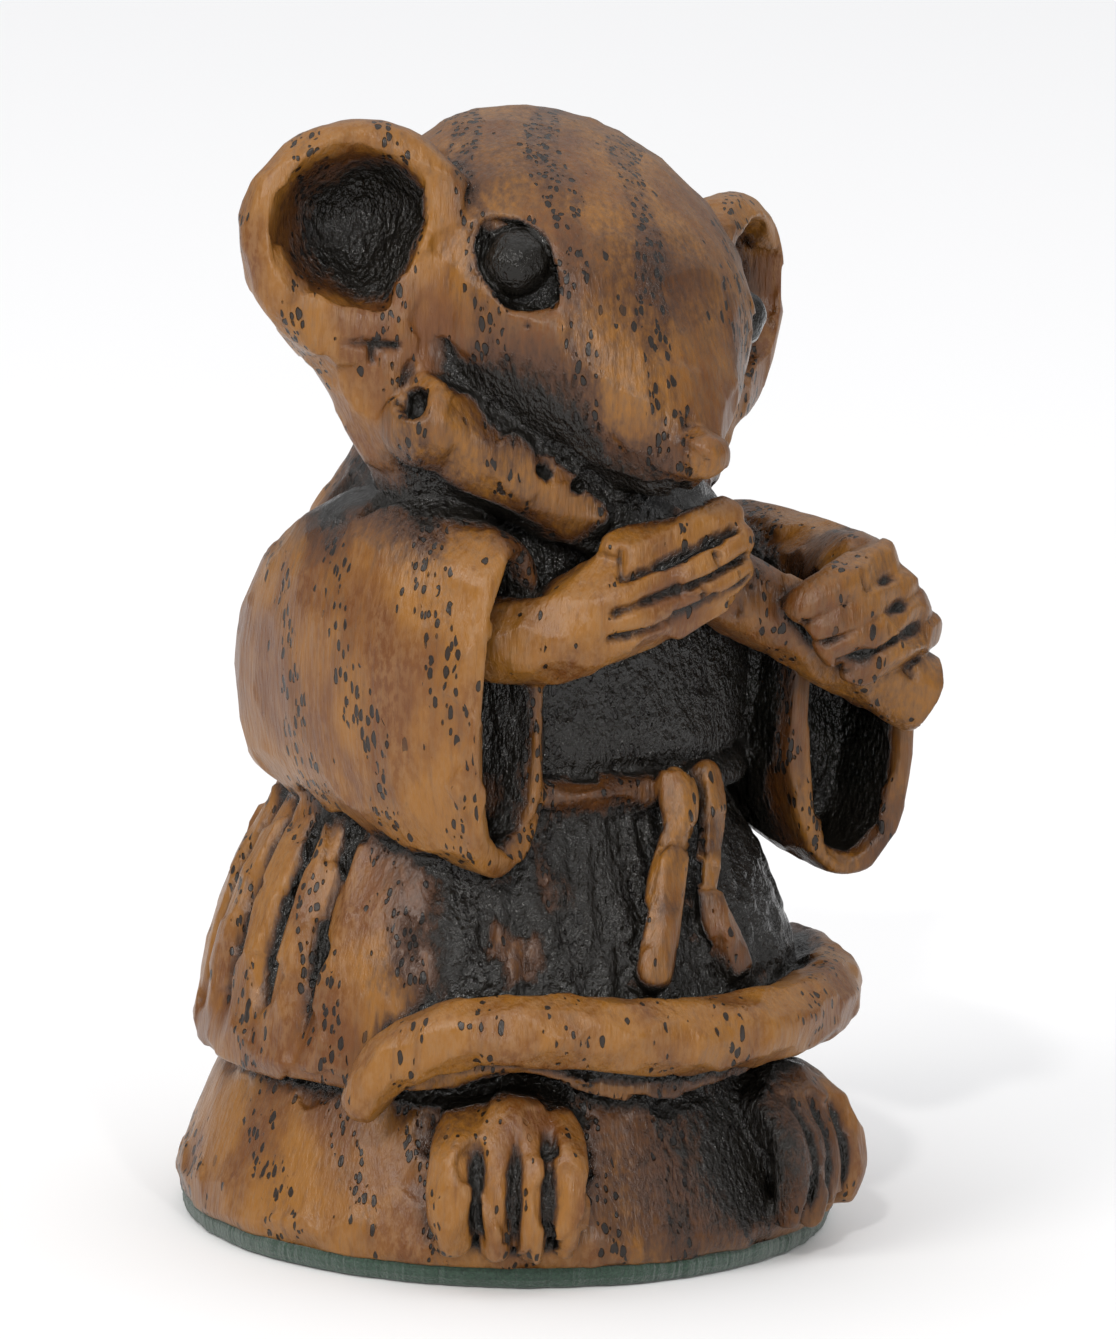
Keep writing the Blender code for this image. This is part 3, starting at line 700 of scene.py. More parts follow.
def joined_mesh():
    """The casting in figure units as one even skin, and a function that tells which form points belong to."""
    whole, ends = gathered(FORMS)
    shells = mesh_of(whole, "rough")
    marks = KDTree(len(shells.vertices))
    for vertex in shells.vertices:
        marks.insert(vertex.co, vertex.index)
    marks.balance()
    rough = linked("rough", shells)
    one_skin(rough, FIRST_VOXEL)
    mesh = result_of(rough)
    points = coordinates(mesh)
    for press in (ear_hollows, eye_sockets, flute_holes):
        points = press(points)
    mesh.vertices.foreach_set("co", points.astype(np.float32).ravel())

    body = gathered([eyeballs])[0]
    body.from_mesh(mesh)
    even = linked("even", mesh_of(body, "even"))
    one_skin(even, VOXEL)
    soften = even.modifiers.new("soft fillets", "SMOOTH")
    soften.factor = SMOOTHING
    soften.iterations = SMOOTHING_PASSES

    def form_shares(points):
        nearest = np.array([marks.find(point)[1] for point in points])
        order = np.searchsorted(ends, nearest, side="right")
        return {form.__name__: (order == i).astype(float) for i, form in enumerate(FORMS)}

    return result_of(even), form_shares


def corner_weights(part):
    """The corners of a cell, and how much each counts for points that lie at shares of the way across it."""
    for corner in product((0, 1), repeat=3):
        weight = np.ones(len(part))
        for axis in range(3):
            weight *= part[:, axis] if corner[axis] else 1 - part[:, axis]
        yield corner, weight


def lumps(points, size, seed):
    """Smooth noise from -1 to 1, with lumps about size across."""
    count = 32
    lattice = np.random.default_rng(seed).uniform(-1, 1, (count,) * 3)
    scaled = points / size
    cell = np.floor(scaled).astype(int)
    part = scaled - cell
    part = part * part * (3 - 2 * part)
    total = np.zeros(len(points))
    for corner, weight in corner_weights(part):
        total += weight * lattice[tuple(((cell + corner) % count).T)]
    return total


# Cuts between the fingers, and the knife's nicks by the ear, under the eye and across the fingers
HAND_GROOVES = (
    ((-3.9, -19.0, 43.9), (-1.3, -19.4, 44.9), (1.2, -19.6, 45.8), (4.0, -19.2, 46.6)),
    ((-4.9, -19.4, 41.9), (-2.6, -19.8, 42.6), (-0.1, -19.9, 43.2), (4.6, -19.4, 44.9)),
    ((-5.0, -19.2, 40.1), (-3.1, -19.5, 40.5), (-1.2, -19.5, 40.9), (1.5, -19.7, 42.0), (4.8, -19.3, 43.5)),
    ((9.8, -18.9, 40.4), (13.3, -19.5, 41.8), (15.7, -18.9, 42.4), (17.4, -17.7, 42.7)),
    ((10.8, -19.3, 38.9), (14.4, -19.8, 40.3), (16.9, -19.1, 40.8), (18.6, -17.9, 41.1)),
    ((12.4, -19.3, 37.4), (15.8, -19.7, 38.8), (18.0, -18.9, 39.2), (19.8, -17.6, 39.5)),
)
NICKS = (
    ((-18.8, -8.2, 58.3), (-17.4, -9.1, 58.3), (-15.5, -9.9, 58.1)),
    ((-17.0, -9.4, 58.2), (-16.9, -9.2, 57.2)),
    ((-8.8, -14.0, 60.9), (-9.3, -15.4, 59.8)),
    ((-3.9, -18.3, 45.6), (-4.2, -18.9, 43.9)),
    ((2.2, -19.4, 47.6), (2.4, -19.6, 46.6)),
    ((2.2, -20.0, 45.4), (2.4, -20.1, 44.6)),
    ((1.2, -20.1, 43.4), (1.5, -20.2, 42.6)),
    ((13.4, -19.9, 43.4), (13.8, -19.9, 42.2)),
    ((15.4, -20.4, 40.2), (15.6, -20.4, 39.2)),
)
CUT_DEPTH = 0.75
FACET_SPACING = 2.9
DEEPEST_FACET = -0.16
HIGHEST_FACET = 0.24
LIP_STEP = 0.55

# Grid that tells how closed in a place is, in figure units
GRID_STEP = 0.33
GRID_LOW = np.array((-29.0, -29.0, -5.0))
GRID_CELLS = (180, 176, 250)

# For each ear: how far in from its middle the black lies, how far out it fades and how far out it is full
EAR_BLACKS = ((1.9, 5.9, 2.4), (0.6, 6.2, 3.6))


def filled_cells(mesh):
    """1 for each cell of a grid inside the figure, from rays up each column."""
    body = bmesh.new()
    body.from_mesh(mesh)
    tree = BVHTree.FromBMesh(body)
    body.free()
    cells = np.zeros(GRID_CELLS, np.float32)
    up = Vector((0, 0, 1))
    for i, j in product(range(GRID_CELLS[0]), range(GRID_CELLS[1])):
        x, y = GRID_LOW[:2] + (np.array((i, j)) + 0.5) * GRID_STEP
        start = Vector((x, y, GRID_LOW[2]))
        heights = []
        while True:
            hit = tree.ray_cast(start, up)[0]
            if hit is None:
                break
            heights.append(hit.z)
            start = hit + up * 1e-4
        for low, high in zip(heights[::2], heights[1::2]):
            first, last = ((h - GRID_LOW[2]) / GRID_STEP for h in (low, high))
            cells[i, j, round(first) : round(last)] = 1
    return cells


def blurred(cells, radius):
    """A grid averaged over a cube twice, radius cells out."""
    for _ in range(2):
        for axis in range(3):
            pad = [(radius + 1, radius) if a == axis else (0, 0) for a in range(3)]
            run = np.cumsum(np.pad(cells, pad), axis=axis)
            count = cells.shape[axis]
            upper = np.take(run, np.arange(2 * radius + 1, 2 * radius + 1 + count), axis=axis)
            lower = np.take(run, np.arange(count), axis=axis)
            cells = (upper - lower) / (2 * radius + 1)
    return cells


def sampled(cells, points):
    """A grid's value at each point, between its cells."""
    scaled = (points - GRID_LOW) / GRID_STEP - 0.5
    scaled = np.clip(scaled, 0, np.array(GRID_CELLS) - 1.001)
    cell = scaled.astype(int)
    total = np.zeros(len(points))
    for corner, weight in corner_weights(scaled - cell):
        total += weight * cells[tuple((cell + corner).T)]
    return total


def facets(points, normals, spacing, seed):
    """How far each point lies from the flat cut that it belongs to."""
    rng = np.random.default_rng(seed)
    order = rng.permutation(len(points))
    cells = np.floor(points[order] / spacing).astype(int)
    chosen = order[np.unique(cells, axis=0, return_index=True)[1]]
    tree = KDTree(len(chosen))
    for i, index in enumerate(chosen):
        tree.insert(points[index], i)
    tree.balance()
    near = 4
    found = np.empty((len(points), near), int)
    away = np.empty((len(points), near))
    for i, point in enumerate(points):
        for k, (_, index, distance) in enumerate(tree.find_n(point, near)):
            found[i, k] = chosen[index]
            away[i, k] = distance
    to_plane = ((points[found] - points[:, None]) * normals[found]).sum(2)
    agree = np.clip((normals[found] * normals[:, None]).sum(2), 0, 1) ** 4
    weight = np.exp(-14 * (away**2 - away[:, :1] ** 2) / spacing**2) * (agree + 1e-6)
    return (to_plane * weight).sum(1) / weight.sum(1)


def ear_depth(points, edge, floor):
    """0 outside the hollow of an ear and 1 well inside, where edge and floor are shares of its outline."""
    depth = np.zeros(len(points))
    for place, inward in zip(ear_places(), (1, -1)):
        height = local(place, points)[:, 2]
        share = eased_step(edge, floor, ear_hollow_share(points, place, inward))
        depth = np.maximum(depth, share * eased_step(1.9, 1.3, height) * (height > -4.6))
    return depth


def ear_shadow(points):
    """1 in the black of each ear, which lies inward of the hollow's middle."""
    shadow = np.zeros(len(points))
    for place, inward, (across, edge, floor) in zip(ear_places(), (1, -1), EAR_BLACKS):
        x, y, _ = local(place, points).T
        away = np.hypot(x * inward - across, y - 1.0)
        shadow = np.maximum(shadow, eased_step(edge, floor, away))
    return shadow * ear_depth(points, 1.0, 0.95)


def eye_share(points):
    """1 on the eyeballs and in their sockets."""
    share = np.zeros(len(points))
    for centre in EYE_CENTRES:
        away = np.linalg.norm(points - np.array(head_frame() @ centre), axis=1)
        share = np.maximum(share, eased_step(EYE_RADIUS + 0.55, EYE_RADIUS + 0.1, away))
    return share


def away_from(points, line):
    """How far each point lies from a line through places."""
    nearest = np.full(len(points), np.inf)
    for start, end in zip(line, line[1:]):
        start, along = np.array(start), np.array(end) - np.array(start)
        share = np.clip((points - start) @ along / max(along @ along, 1e-9), 0, 1)
        nearest = np.minimum(nearest, np.linalg.norm(points - start - share[:, None] * along, axis=1))
    return nearest


def toe_grooves():
    """The lines of the cuts between the toes of both feet."""
    lines = []
    for degrees, lowest in ((25.0, 0.6), (30.3, 1.6), (36.2, 2.2)):
        for side in (-1, 1):
            way = direction(math.radians(degrees * side))
            reaches = ((21.7, 9.0), (22.9, 7.3), (23.6, 4.8), (23.2, lowest))
            lines.append([way * reach + Vector((0, 0, height)) for reach, height in reaches])
    return lines


def cut_share(points):
    """1 in the bottom of the cuts between fingers and toes and of the knife's nicks."""
    share = np.zeros(len(points))
    rows = [(line, 0.29, 0.85) for line in HAND_GROOVES]
    rows += [(line, 0.33, 0.72) for line in toe_grooves()]
    rows += [(line, 0.24, 0.75) for line in NICKS]
    for line, half_width, depth in rows:
        near = np.exp(-((away_from(points, line) / half_width) ** 2))
        share = np.maximum(share, near * depth)
    return share


def lip_gap(points):
    """How high points of the head stand over the lip, and how far ahead they lie."""
    x, y, z = local(head_frame(), points).T
    lip = np.interp(-y, (5.0, 9.0, 13.0, 16.0, 18.4, 19.5, 20.6), (-6.0, -4.2, -4.0, -3.5, -2.5, -1.2, 0.0))
    return z - lip, -y


def muzzle_stain(points):
    """Stain and painted shade on the muzzle, from nothing some way over the lip to black under it, where its
    underside is in shade.
    """
    gap, ahead = lip_gap(points)
    above = eased_step(4.6, 0.0, gap + 0.5 * lumps(points, 2.0, 31)) * eased_step(4.0, 8.0, ahead)
    above *= eased_step(20.5, 17.5, ahead)
    return 0.62 * above + 0.6 * eased_step(0.3, -0.5, gap)


def chest_share(points):
    """1 on the front of the torso, between the sleeves."""
    x, y, z = points.T
    inside = (np.abs(x) / 16.0) ** 2.3 + (np.abs(y) / 14.0) ** 2.3
    return eased_step(1.25, 1.0, inside) * (y < 0) * eased_step(29.0, 30.6, z) * eased_step(54, 50, z)


def sleeve_inside(points):
    """1 inside the hollow of each sleeve, its lip apart."""
    share = np.zeros(len(points))
    for (x, y, low, high, half_width), opening in (
        (RIGHT_SLEEVE_ROWS[-1], RIGHT_OPENING),
        (LEFT_SLEEVE_ROWS[-1], LEFT_OPENING),
    ):
        away = points - np.array((x, y, (low + high) / 2))
        ahead = away @ np.array(opening)
        across = away @ np.array((-opening.y, opening.x, 0))
        wide = half_width - SLEEVE_WALL * 0.6
        tall = (high - low) / 2 - SLEEVE_WALL * 0.6
        out = (np.abs(across) / wide) ** 2.2 + (np.abs(away[:, 2]) / tall) ** 2.2
        inside = eased_step(1.15, 0.95, out) * eased_step(0.5, -0.9, ahead) * (ahead > -8.5)
        share = np.maximum(share, inside)
    return share


def skirt_front_share(points):
    """1 on the plain front of the skirt, above the tail."""
    x, y, z = points.T
    angle = np.degrees(np.arctan2(x, -y))
    out = np.hypot(x, y)
    across = eased_step(-66, -38, angle) * eased_step(80, 66, angle)
    return across * eased_step(15.5, 17.5, z) * eased_step(30.6, 29.6, z) * eased_step(21.5, 19.8, out)


def pleat_stain(points):
    """1 in the valleys between the pleats."""
    x, y, z = points.T
    angle = np.arctan2(x, -y)
    off = np.abs(angle) - PLEAT_FIRST
    wave = np.abs(np.cos(math.pi * off / PLEAT_SPACING))
    share = (off > -PLEAT_SPACING / 2) * eased_step(0.93, 0.99, wave)
    return share * eased_step(12.5, 16, z) * eased_step(29, 27, z)


# Darker patches, partly more stain left on and partly painted shade, as on the cheek under the eye and under
# the head: place, radius and strength
STAIN_AND_SHADE_PATCHES = (
    ((-9.2, -15.6, 54.7), 4.2, 0.52),
    ((-7.8, -9.5, 69.5), 4.6, 0.14),
    ((-2.5, -6.0, 71.8), 4.0, 0.10),
    ((-3.2, -16.8, 62.4), 4.2, 0.18),
    ((1.6, -16.0, 62.0), 4.4, 0.20),
    ((-13.2, -9.8, 47.8), 4.2, 0.62),
    ((-12.5, -1.0, 48.5), 6.0, 0.75),
    ((-9.0, -14.0, 46.0), 3.0, 0.40),
    ((-15.5, -3.5, 47.0), 4.0, 0.35),
    ((1.0, -21.0, 5.5), 7.5, 0.62),
    ((8.0, -19.5, 6.0), 6.5, 0.58),
    ((20.5, -11.0, 24.0), 4.5, 0.35),
    ((19.0, -12.0, 43.0), 3.5, 0.30),
    ((-10.5, -8.5, 66.5), 3.0, 0.15),
    ((-13.5, -15.5, 8.5), 3.0, 0.30),
    ((19.5, -4.0, 14.5), 4.5, 0.50),
    ((19.0, -10.5, 34.0), 9.0, 0.22),
    ((7.0, -17.5, 44.0), 3.0, 0.35),
    ((-14.6, -11.2, 52.0), 3.0, 0.22),
    ((20.5, -2.0, 9.0), 6.0, 0.40),
    ((12.5, -6.0, 60.0), 5.0, 0.30),
)


def smudged(points):
    """How much the patches of stain and painted shade darken each point."""
    total = np.zeros(len(points))
    for place, radius, strength in STAIN_AND_SHADE_PATCHES:
        away = np.linalg.norm(points - np.array(place), axis=1)
        total += strength * eased_step(radius * 1.35, radius * 0.35, away)
    return total


def jaw_share(points):
    """1 under the lip, on the jaw."""
    gap, ahead = lip_gap(points)
    return eased_step(0.25, -0.45, gap) * eased_step(5.0, 8.0, ahead)


def carved(mesh, shares):
    """Moves the vertices of the even skin as the knife, the tools and the wax left them."""
    points, normals = coordinates(mesh), coordinates(mesh, "normal")
    x, y, z = points.T
    ears_in = ear_depth(points, 0.95, 0.7)
    eyes = eye_share(points)
    chest = chest_share(points) * shares["torso"]
    front = skirt_front_share(points) * shares["skirt"]
    eye_marks = eyes * (0.11 * lumps(points, 0.95, 14) + 0.05 * lumps(points, 0.45, 15))
    rough = np.clip(ears_in + chest + front, 0, 1)
    upright = np.column_stack((x, y, z * 0.16))

    move = facets(points, normals, FACET_SPACING, 3) * (1 - rough) * (1 - eyes)
    move = np.clip(move, DEEPEST_FACET, HIGHEST_FACET) - 0.03 + eye_marks
    move += 0.05 * lumps(points, 2.4, 5) * (1 - eyes)
    move += 0.045 * lumps(upright, 0.75, 6) * (1 - eyes)
    move += ears_in * (0.12 * lumps(points, 0.8, 7) + 0.22 * lumps(points, 1.9, 8))
    move += chest * (0.13 * lumps(points, 0.8, 9) + 0.12 * lumps(points, 2.4, 10))
    around = np.column_stack((np.arctan2(x, -y) * 18, z * 0.30, np.hypot(x, y) * 0.2))
    move += front * (0.42 * lumps(around, 0.9, 11) + 0.12 * lumps(points, 0.7, 12))
    strokes = np.column_stack((x + 0.45 * z, y * 0.5, z * 0.22))
    gap, ahead = lip_gap(points)
    furred = shares["skull"] * eased_step(8.5, 5.0, gap) * eased_step(-1.5, 0.5, gap)
    furred = furred * eased_step(6, 9, ahead)
    move += 0.07 * furred * lumps(strokes, 0.55, 13) * (1 - eyes)
    move -= LIP_STEP * jaw_share(points) * shares["skull"]
    move -= CUT_DEPTH * cut_share(points)
    points += normals * move[:, None]
    points[:, 2] = np.maximum(points[:, 2], 0)
    mesh.vertices.foreach_set("co", points.astype(np.float32).ravel())
    mesh.update()


def softened(mesh, values, passes):
    """Values on vertices, averaged with those of their neighbours."""
    edges = np.empty(len(mesh.edges) * 2, np.int32)
    mesh.edges.foreach_get("vertices", edges)
    edges = edges.reshape(-1, 2)
    count = np.bincount(edges.ravel(), minlength=len(values))
    for _ in range(passes):
        total = np.bincount(edges[:, 0], values[edges[:, 1]], len(values))
        total += np.bincount(edges[:, 1], values[edges[:, 0]], len(values))
        values = (values + total) / (1 + count)
    return values


def stain(mesh, cells, shares):
    """Writes to each vertex how much stain and painted shade lies there, how much it is lightened for rubbed
    wear and a painted highlight, if it is eye and if pores are few.
    """
    points, normals = coordinates(mesh), coordinates(mesh, "normal")
    shares = {name: softened(mesh, share, 4) for name, share in shares.items()}
    near = sampled(blurred(cells, 2), points + normals * 0.35)
    wide = sampled(blurred(cells, 5), points + normals * 1.6)
    far = sampled(blurred(cells, 11), points + normals * 4.0)
    eyes = eye_share(points)
    # Narrow crevices get stain; the broader hollows measured by wide and far also get painted shade.
    stain_and_shade = 0.9 * eased_step(0.40, 0.62, near) + 0.6 * eased_step(0.26, 0.55, wide)
    stain_and_shade += 0.35 * eased_step(0.2, 0.5, far)
    # Patches of stain and painted shade, and a little more stain over the whole head.
    stain_and_shade += smudged(points) + 0.20 * shares["skull"]
    # Under the lip the muzzle is darkened by stain and by painted shade.
    stain_and_shade += muzzle_stain(points) * shares["skull"]
    stain_and_shade += 0.5 * pleat_stain(points) * shares["skirt"]
    stain_and_shade = np.maximum(stain_and_shade, 0.50 * ear_depth(points, 1.0, 0.8) + 0.85 * ear_shadow(points))
    stain_and_shade = np.maximum(stain_and_shade, 1.15 * chest_share(points) * shares["torso"])
    stain_and_shade = np.maximum(stain_and_shade, 1.15 * sleeve_inside(points) * (shares["sleeves"] + shares["torso"]))
    front = skirt_front_share(points) * shares["skirt"]
    x, y, z = points.T
    angle = np.degrees(np.arctan2(x, -y))
    upright = np.column_stack((x, y, z * 0.4))
    bared = eased_step(-0.05, 0.35, lumps(upright, 1.3, 41)) * eased_step(-8, -30, angle)
    stain_and_shade += front * (1.1 - 0.66 * bared)
    stain_and_shade += 1.1 * shares["cord_belt"] * np.maximum(eased_step(21, 25, angle), 0.35)
    stain_and_shade += shares["cord_ends"] * (0.16 + 0.25 * eased_step(0.1, 0.5, lumps(points, 1.6, 43)))
    stain_and_shade += 0.20 * shares["hands"] * (x > 8) + 0.14 * shares["flute"]
    stain_and_shade = np.maximum(stain_and_shade, 1.25 * eased_step(0.35, 0.85, cut_share(points)))
    stain_and_shade = np.maximum(stain_and_shade, 1.4 * eyes)
    # Raised places turn lighter tan, for rubbed wear and a painted highlight.
    worn_and_highlight = eased_step(0.40, 0.22, near)
    sparse = shares["hands"] + shares["feet"] + shares["cord_ends"]
    sparse = sparse + 0.6 * (shares["flute"] + shares["tail"])
    by_name = {"stain_and_shade": softened(mesh, stain_and_shade, 1), "worn_and_highlight": worn_and_highlight, "glassy": eyes, "sparse": sparse}
    for name, values in by_name.items():
        held = mesh.attributes.new(name, "FLOAT", "POINT")
        held.data.foreach_set("value", values.astype(np.float32))


def feed(tree, socket, value):
    """Links a socket to another one, or sets its value."""
    if isinstance(value, bpy.types.NodeSocket):
        tree.links.new(value, socket)
    else:
        socket.default_value = value


def math_node(tree, operation, *values):
    made = tree.nodes.new("ShaderNodeMath")
    made.operation = operation
    for socket, value in zip(made.inputs, values):
        feed(tree, socket, value)
    return made.outputs[0]


def remapped(tree, value, low, high, new_low=0.0, new_high=1.0):
    made = tree.nodes.new("ShaderNodeMapRange")
    made.interpolation_type = "SMOOTHSTEP"
    names = ("Value", "From Min", "From Max", "To Min", "To Max")
    for name, number in zip(names, (value, low, high, new_low, new_high)):
        feed(tree, made.inputs[name], number)
    return made.outputs[0]


def mixed(tree, share, first, second):
    made = tree.nodes.new("ShaderNodeMix")
    made.data_type = "RGBA"
    feed(tree, made.inputs[0], share)
    feed(tree, made.inputs[6], first)
    feed(tree, made.inputs[7], second)
    return made.outputs[2]


def scaled_place(tree, scale):
    """Object coordinates in millimetres, times a scale for each axis."""
    place = tree.nodes.new("ShaderNodeTexCoord").outputs["Object"]
    made = tree.nodes.new("ShaderNodeMapping")
    tree.links.new(place, made.inputs["Vector"])
    made.inputs["Scale"].default_value = [1000 * s for s in scale]
    return made.outputs[0]


def noise(tree, scale, detail=3.0, roughness=0.55, output="Fac"):
    """Noise on object coordinates. Its Color output is three noises at once, to shift places by."""
    made = tree.nodes.new("ShaderNodeTexNoise")
    tree.links.new(scaled_place(tree, scale), made.inputs["Vector"])
    made.inputs["Scale"].default_value = 1.0
    made.inputs["Detail"].default_value = detail
    made.inputs["Roughness"].default_value = roughness
    return made.outputs[output]


def stored(tree, name):
    made = tree.nodes.new("ShaderNodeAttribute")
    made.attribute_name = name
    return made.outputs["Fac"]


def shade(material, **values):
    shader = material.node_tree.nodes["Principled BSDF"]
    for name, value in values.items():
        feed(material.node_tree, shader.inputs[name.replace("_", " ")], value)


def bumped(tree, height, strength, distance):
    made = tree.nodes.new("ShaderNodeBump")
    made.inputs["Strength"].default_value = strength
    made.inputs["Distance"].default_value = distance
    tree.links.new(height, made.inputs["Height"])
    return made.outputs[0]


# Upright bands of pores, in millimetres: the level way across them, their lean, where they start, half a band
ACROSS_GRAIN = (0.848, -0.53)
BAND_LEAN = 0.14
BAND_START = 9.8
HALF_BAND = 2.65


def pores(tree):
    """Open pores of oak in bands, as short dashes up the grain: 1 in a pore. Also how near a band is."""
    cells = tree.nodes.new("ShaderNodeTexVoronoi")
    wobble = tree.nodes.new("ShaderNodeVectorMath")
    wobble.operation = "MULTIPLY_ADD"
    tree.links.new(noise(tree, (1.3, 1.3, 0.8), 2.0, 0.5, "Color"), wobble.inputs[0])
    wobble.inputs[1].default_value = (0.9, 0.9, 0.5)
    tree.links.new(scaled_place(tree, (2.15, 2.15, 0.95)), wobble.inputs[2])
    tree.links.new(wobble.outputs[0], cells.inputs["Vector"])
    cells.inputs["Scale"].default_value = 1.0
    cells.inputs["Randomness"].default_value = 0.95
    parts = tree.nodes.new("ShaderNodeSeparateColor")
    tree.links.new(cells.outputs["Color"], parts.inputs[0])
    size = remapped(tree, parts.outputs[1], 0.0, 1.0, 0.26, 0.50)
    pit = math_node(tree, "SUBTRACT", size, cells.outputs["Distance"])
    pit = remapped(tree, pit, 0.0, 0.09)
    kept = math_node(tree, "GREATER_THAN", parts.outputs[0], 0.12)
    place = tree.nodes.new("ShaderNodeSeparateXYZ")
    tree.links.new(scaled_place(tree, (1, 1, 1)), place.inputs[0])
    across = math_node(tree, "MULTIPLY", place.outputs[0], ACROSS_GRAIN[0])
    across = math_node(tree, "MULTIPLY_ADD", place.outputs[1], ACROSS_GRAIN[1], across)
    wander = math_node(tree, "MULTIPLY", noise(tree, (0.07, 0.07, 0.07), 2.0), 7.0)
    leaning = math_node(tree, "MULTIPLY_ADD", place.outputs[2], BAND_LEAN, across)
    ring = math_node(tree, "SUBTRACT", math_node(tree, "ADD", leaning, wander), BAND_START)
    ring = math_node(tree, "PINGPONG", ring, HALF_BAND)
    band = remapped(tree, ring, 1.25, 0.75)
    patch = remapped(tree, noise(tree, (0.42, 0.42, 0.20), 3.0), 0.33, 0.42)
    there = math_node(tree, "MULTIPLY", band, patch)
    sparse = stored(tree, "sparse")
    there = math_node(tree, "MULTIPLY", there, math_node(tree, "MULTIPLY_ADD", sparse, -0.75, 1.0))
    thin = remapped(tree, math_node(tree, "ADD", there, parts.outputs[2]), 0.955, 0.975)
    share = math_node(tree, "MULTIPLY", pit, kept)
    return math_node(tree, "MULTIPLY", share, thin), there


DARK_HONEY = (0.120, 0.040, 0.0072, 1)
LIGHT_HONEY = (0.236, 0.097, 0.0137, 1)
GRAIN_BROWN = (0.085, 0.027, 0.007, 1)
# A paler tan for raised places: rubbed wear and a painted highlight.
RUBBED_AND_HIGHLIGHT_TAN = (0.29, 0.155, 0.062, 1)
STAIN_AND_SHADE_BROWN = (0.052, 0.019, 0.006, 1)
STAIN_AND_SHADE_BLACK = (0.0085, 0.0072, 0.0055, 1)
PORE_BLACK = (0.007, 0.0055, 0.0045, 1)
DARK_FELT = (0.007, 0.027, 0.016, 1)
LIGHT_FELT = (0.030, 0.075, 0.046, 1)


def resin_material():
    """Oak-coloured resin under a dark antiquing stain with painted shade, lighter on raised places for wear
    and a painted highlight, with the pores and grain cast into it.
    """
    material = bpy.data.materials.new("antiqued_resin")
    material.use_nodes = True
    tree = material.node_tree
    grain = noise(tree, (2.2, 2.2, 0.16), 4.0)
    blotch = noise(tree, (0.20, 0.20, 0.11), 4.0)
    speck = noise(tree, (2.6, 2.6, 1.3), 4.0, 0.65)
    open_air = tree.nodes.new("ShaderNodeAmbientOcclusion")
    open_air.samples = 6
    open_air.only_local = True
    open_air.inputs["Distance"].default_value = 0.0015
    crease = remapped(tree, open_air.outputs["AO"], 0.80, 0.35)
    pore, banded = pores(tree)

    honey = mixed(tree, remapped(tree, blotch, 0.36, 0.62), DARK_HONEY, LIGHT_HONEY)
    honey = mixed(tree, remapped(tree, grain, 0.50, 0.75, 0.0, 0.34), honey, GRAIN_BROWN)
    # Raised places are mixed towards a paler tan: rubbed wear and a painted highlight.
    worn_and_highlight = remapped(tree, stored(tree, "worn_and_highlight"), 0.0, 1.0)
    tan = math_node(tree, "MULTIPLY", worn_and_highlight, remapped(tree, speck, 0.4, 0.65))
    honey = mixed(tree, math_node(tree, "MULTIPLY", tan, 0.40), honey, RUBBED_AND_HIGHLIGHT_TAN)
    stain_and_shade = math_node(tree, "MULTIPLY_ADD", speck, 0.75, -0.375)
    stain_and_shade = math_node(tree, "ADD", stain_and_shade, stored(tree, "stain_and_shade"))
    stain_and_shade = math_node(tree, "MULTIPLY_ADD", crease, 0.95, stain_and_shade)
    stain_and_shade = math_node(tree, "MULTIPLY_ADD", banded, 0.14, stain_and_shade)
    streak = math_node(tree, "SUBTRACT", grain, 0.5)
    stain_and_shade = math_node(tree, "MULTIPLY_ADD", streak, 0.30, stain_and_shade)
    # Brown and then black stand for the stain and the painted shade together.
    brown = mixed(tree, remapped(tree, stain_and_shade, 0.0, 0.62), honey, STAIN_AND_SHADE_BROWN)
    black = mixed(tree, remapped(tree, stain_and_shade, 0.55, 0.95), brown, STAIN_AND_SHADE_BLACK)
    colour = mixed(tree, math_node(tree, "MULTIPLY", pore, 0.95), black, PORE_BLACK)

    rough = remapped(tree, stain_and_shade, 0.3, 0.9, 0.34, 0.14)
    rough = math_node(tree, "MULTIPLY_ADD", math_node(tree, "SUBTRACT", speck, 0.5), 0.35, rough)
    plain = math_node(tree, "MULTIPLY_ADD", stored(tree, "glassy"), -0.4, 1.0)
    fine = noise(tree, (2.6, 2.6, 0.30), 4.0)
    beads = noise(tree, (2.4, 2.4, 1.5), 3.0)
    height = math_node(tree, "MULTIPLY", pore, -1.0)
    height = math_node(tree, "MULTIPLY_ADD", fine, 0.45, height)
    lumpy = math_node(tree, "MULTIPLY", beads, remapped(tree, stain_and_shade, 0.5, 1.0, 0.0, 1.5))
    height = math_node(tree, "MULTIPLY", math_node(tree, "ADD", height, lumpy), plain)
    shade(
        material,
        Base_Color=colour,
        Roughness=rough,
        Normal=bumped(tree, height, 0.9, 0.0003),
        Specular_IOR_Level=math_node(tree, "MULTIPLY_ADD", stored(tree, "glassy"), -0.10, 0.38),
    )
    return material


def felt_material():
    """Green felt, darker and lighter by its fibres."""
    material = bpy.data.materials.new("green_felt_pile")
    material.use_nodes = True
    tree = material.node_tree
    fibres = noise(tree, (6.0, 6.0, 6.0), 5.0, 0.7)
    colour = mixed(tree, remapped(tree, fibres, 0.35, 0.7), DARK_FELT, LIGHT_FELT)
    relief = bumped(tree, fibres, 0.8, 0.0002)
    shade(material, Base_Color=colour, Roughness=0.95, Sheen_Weight=0.4, Normal=relief)
    return material


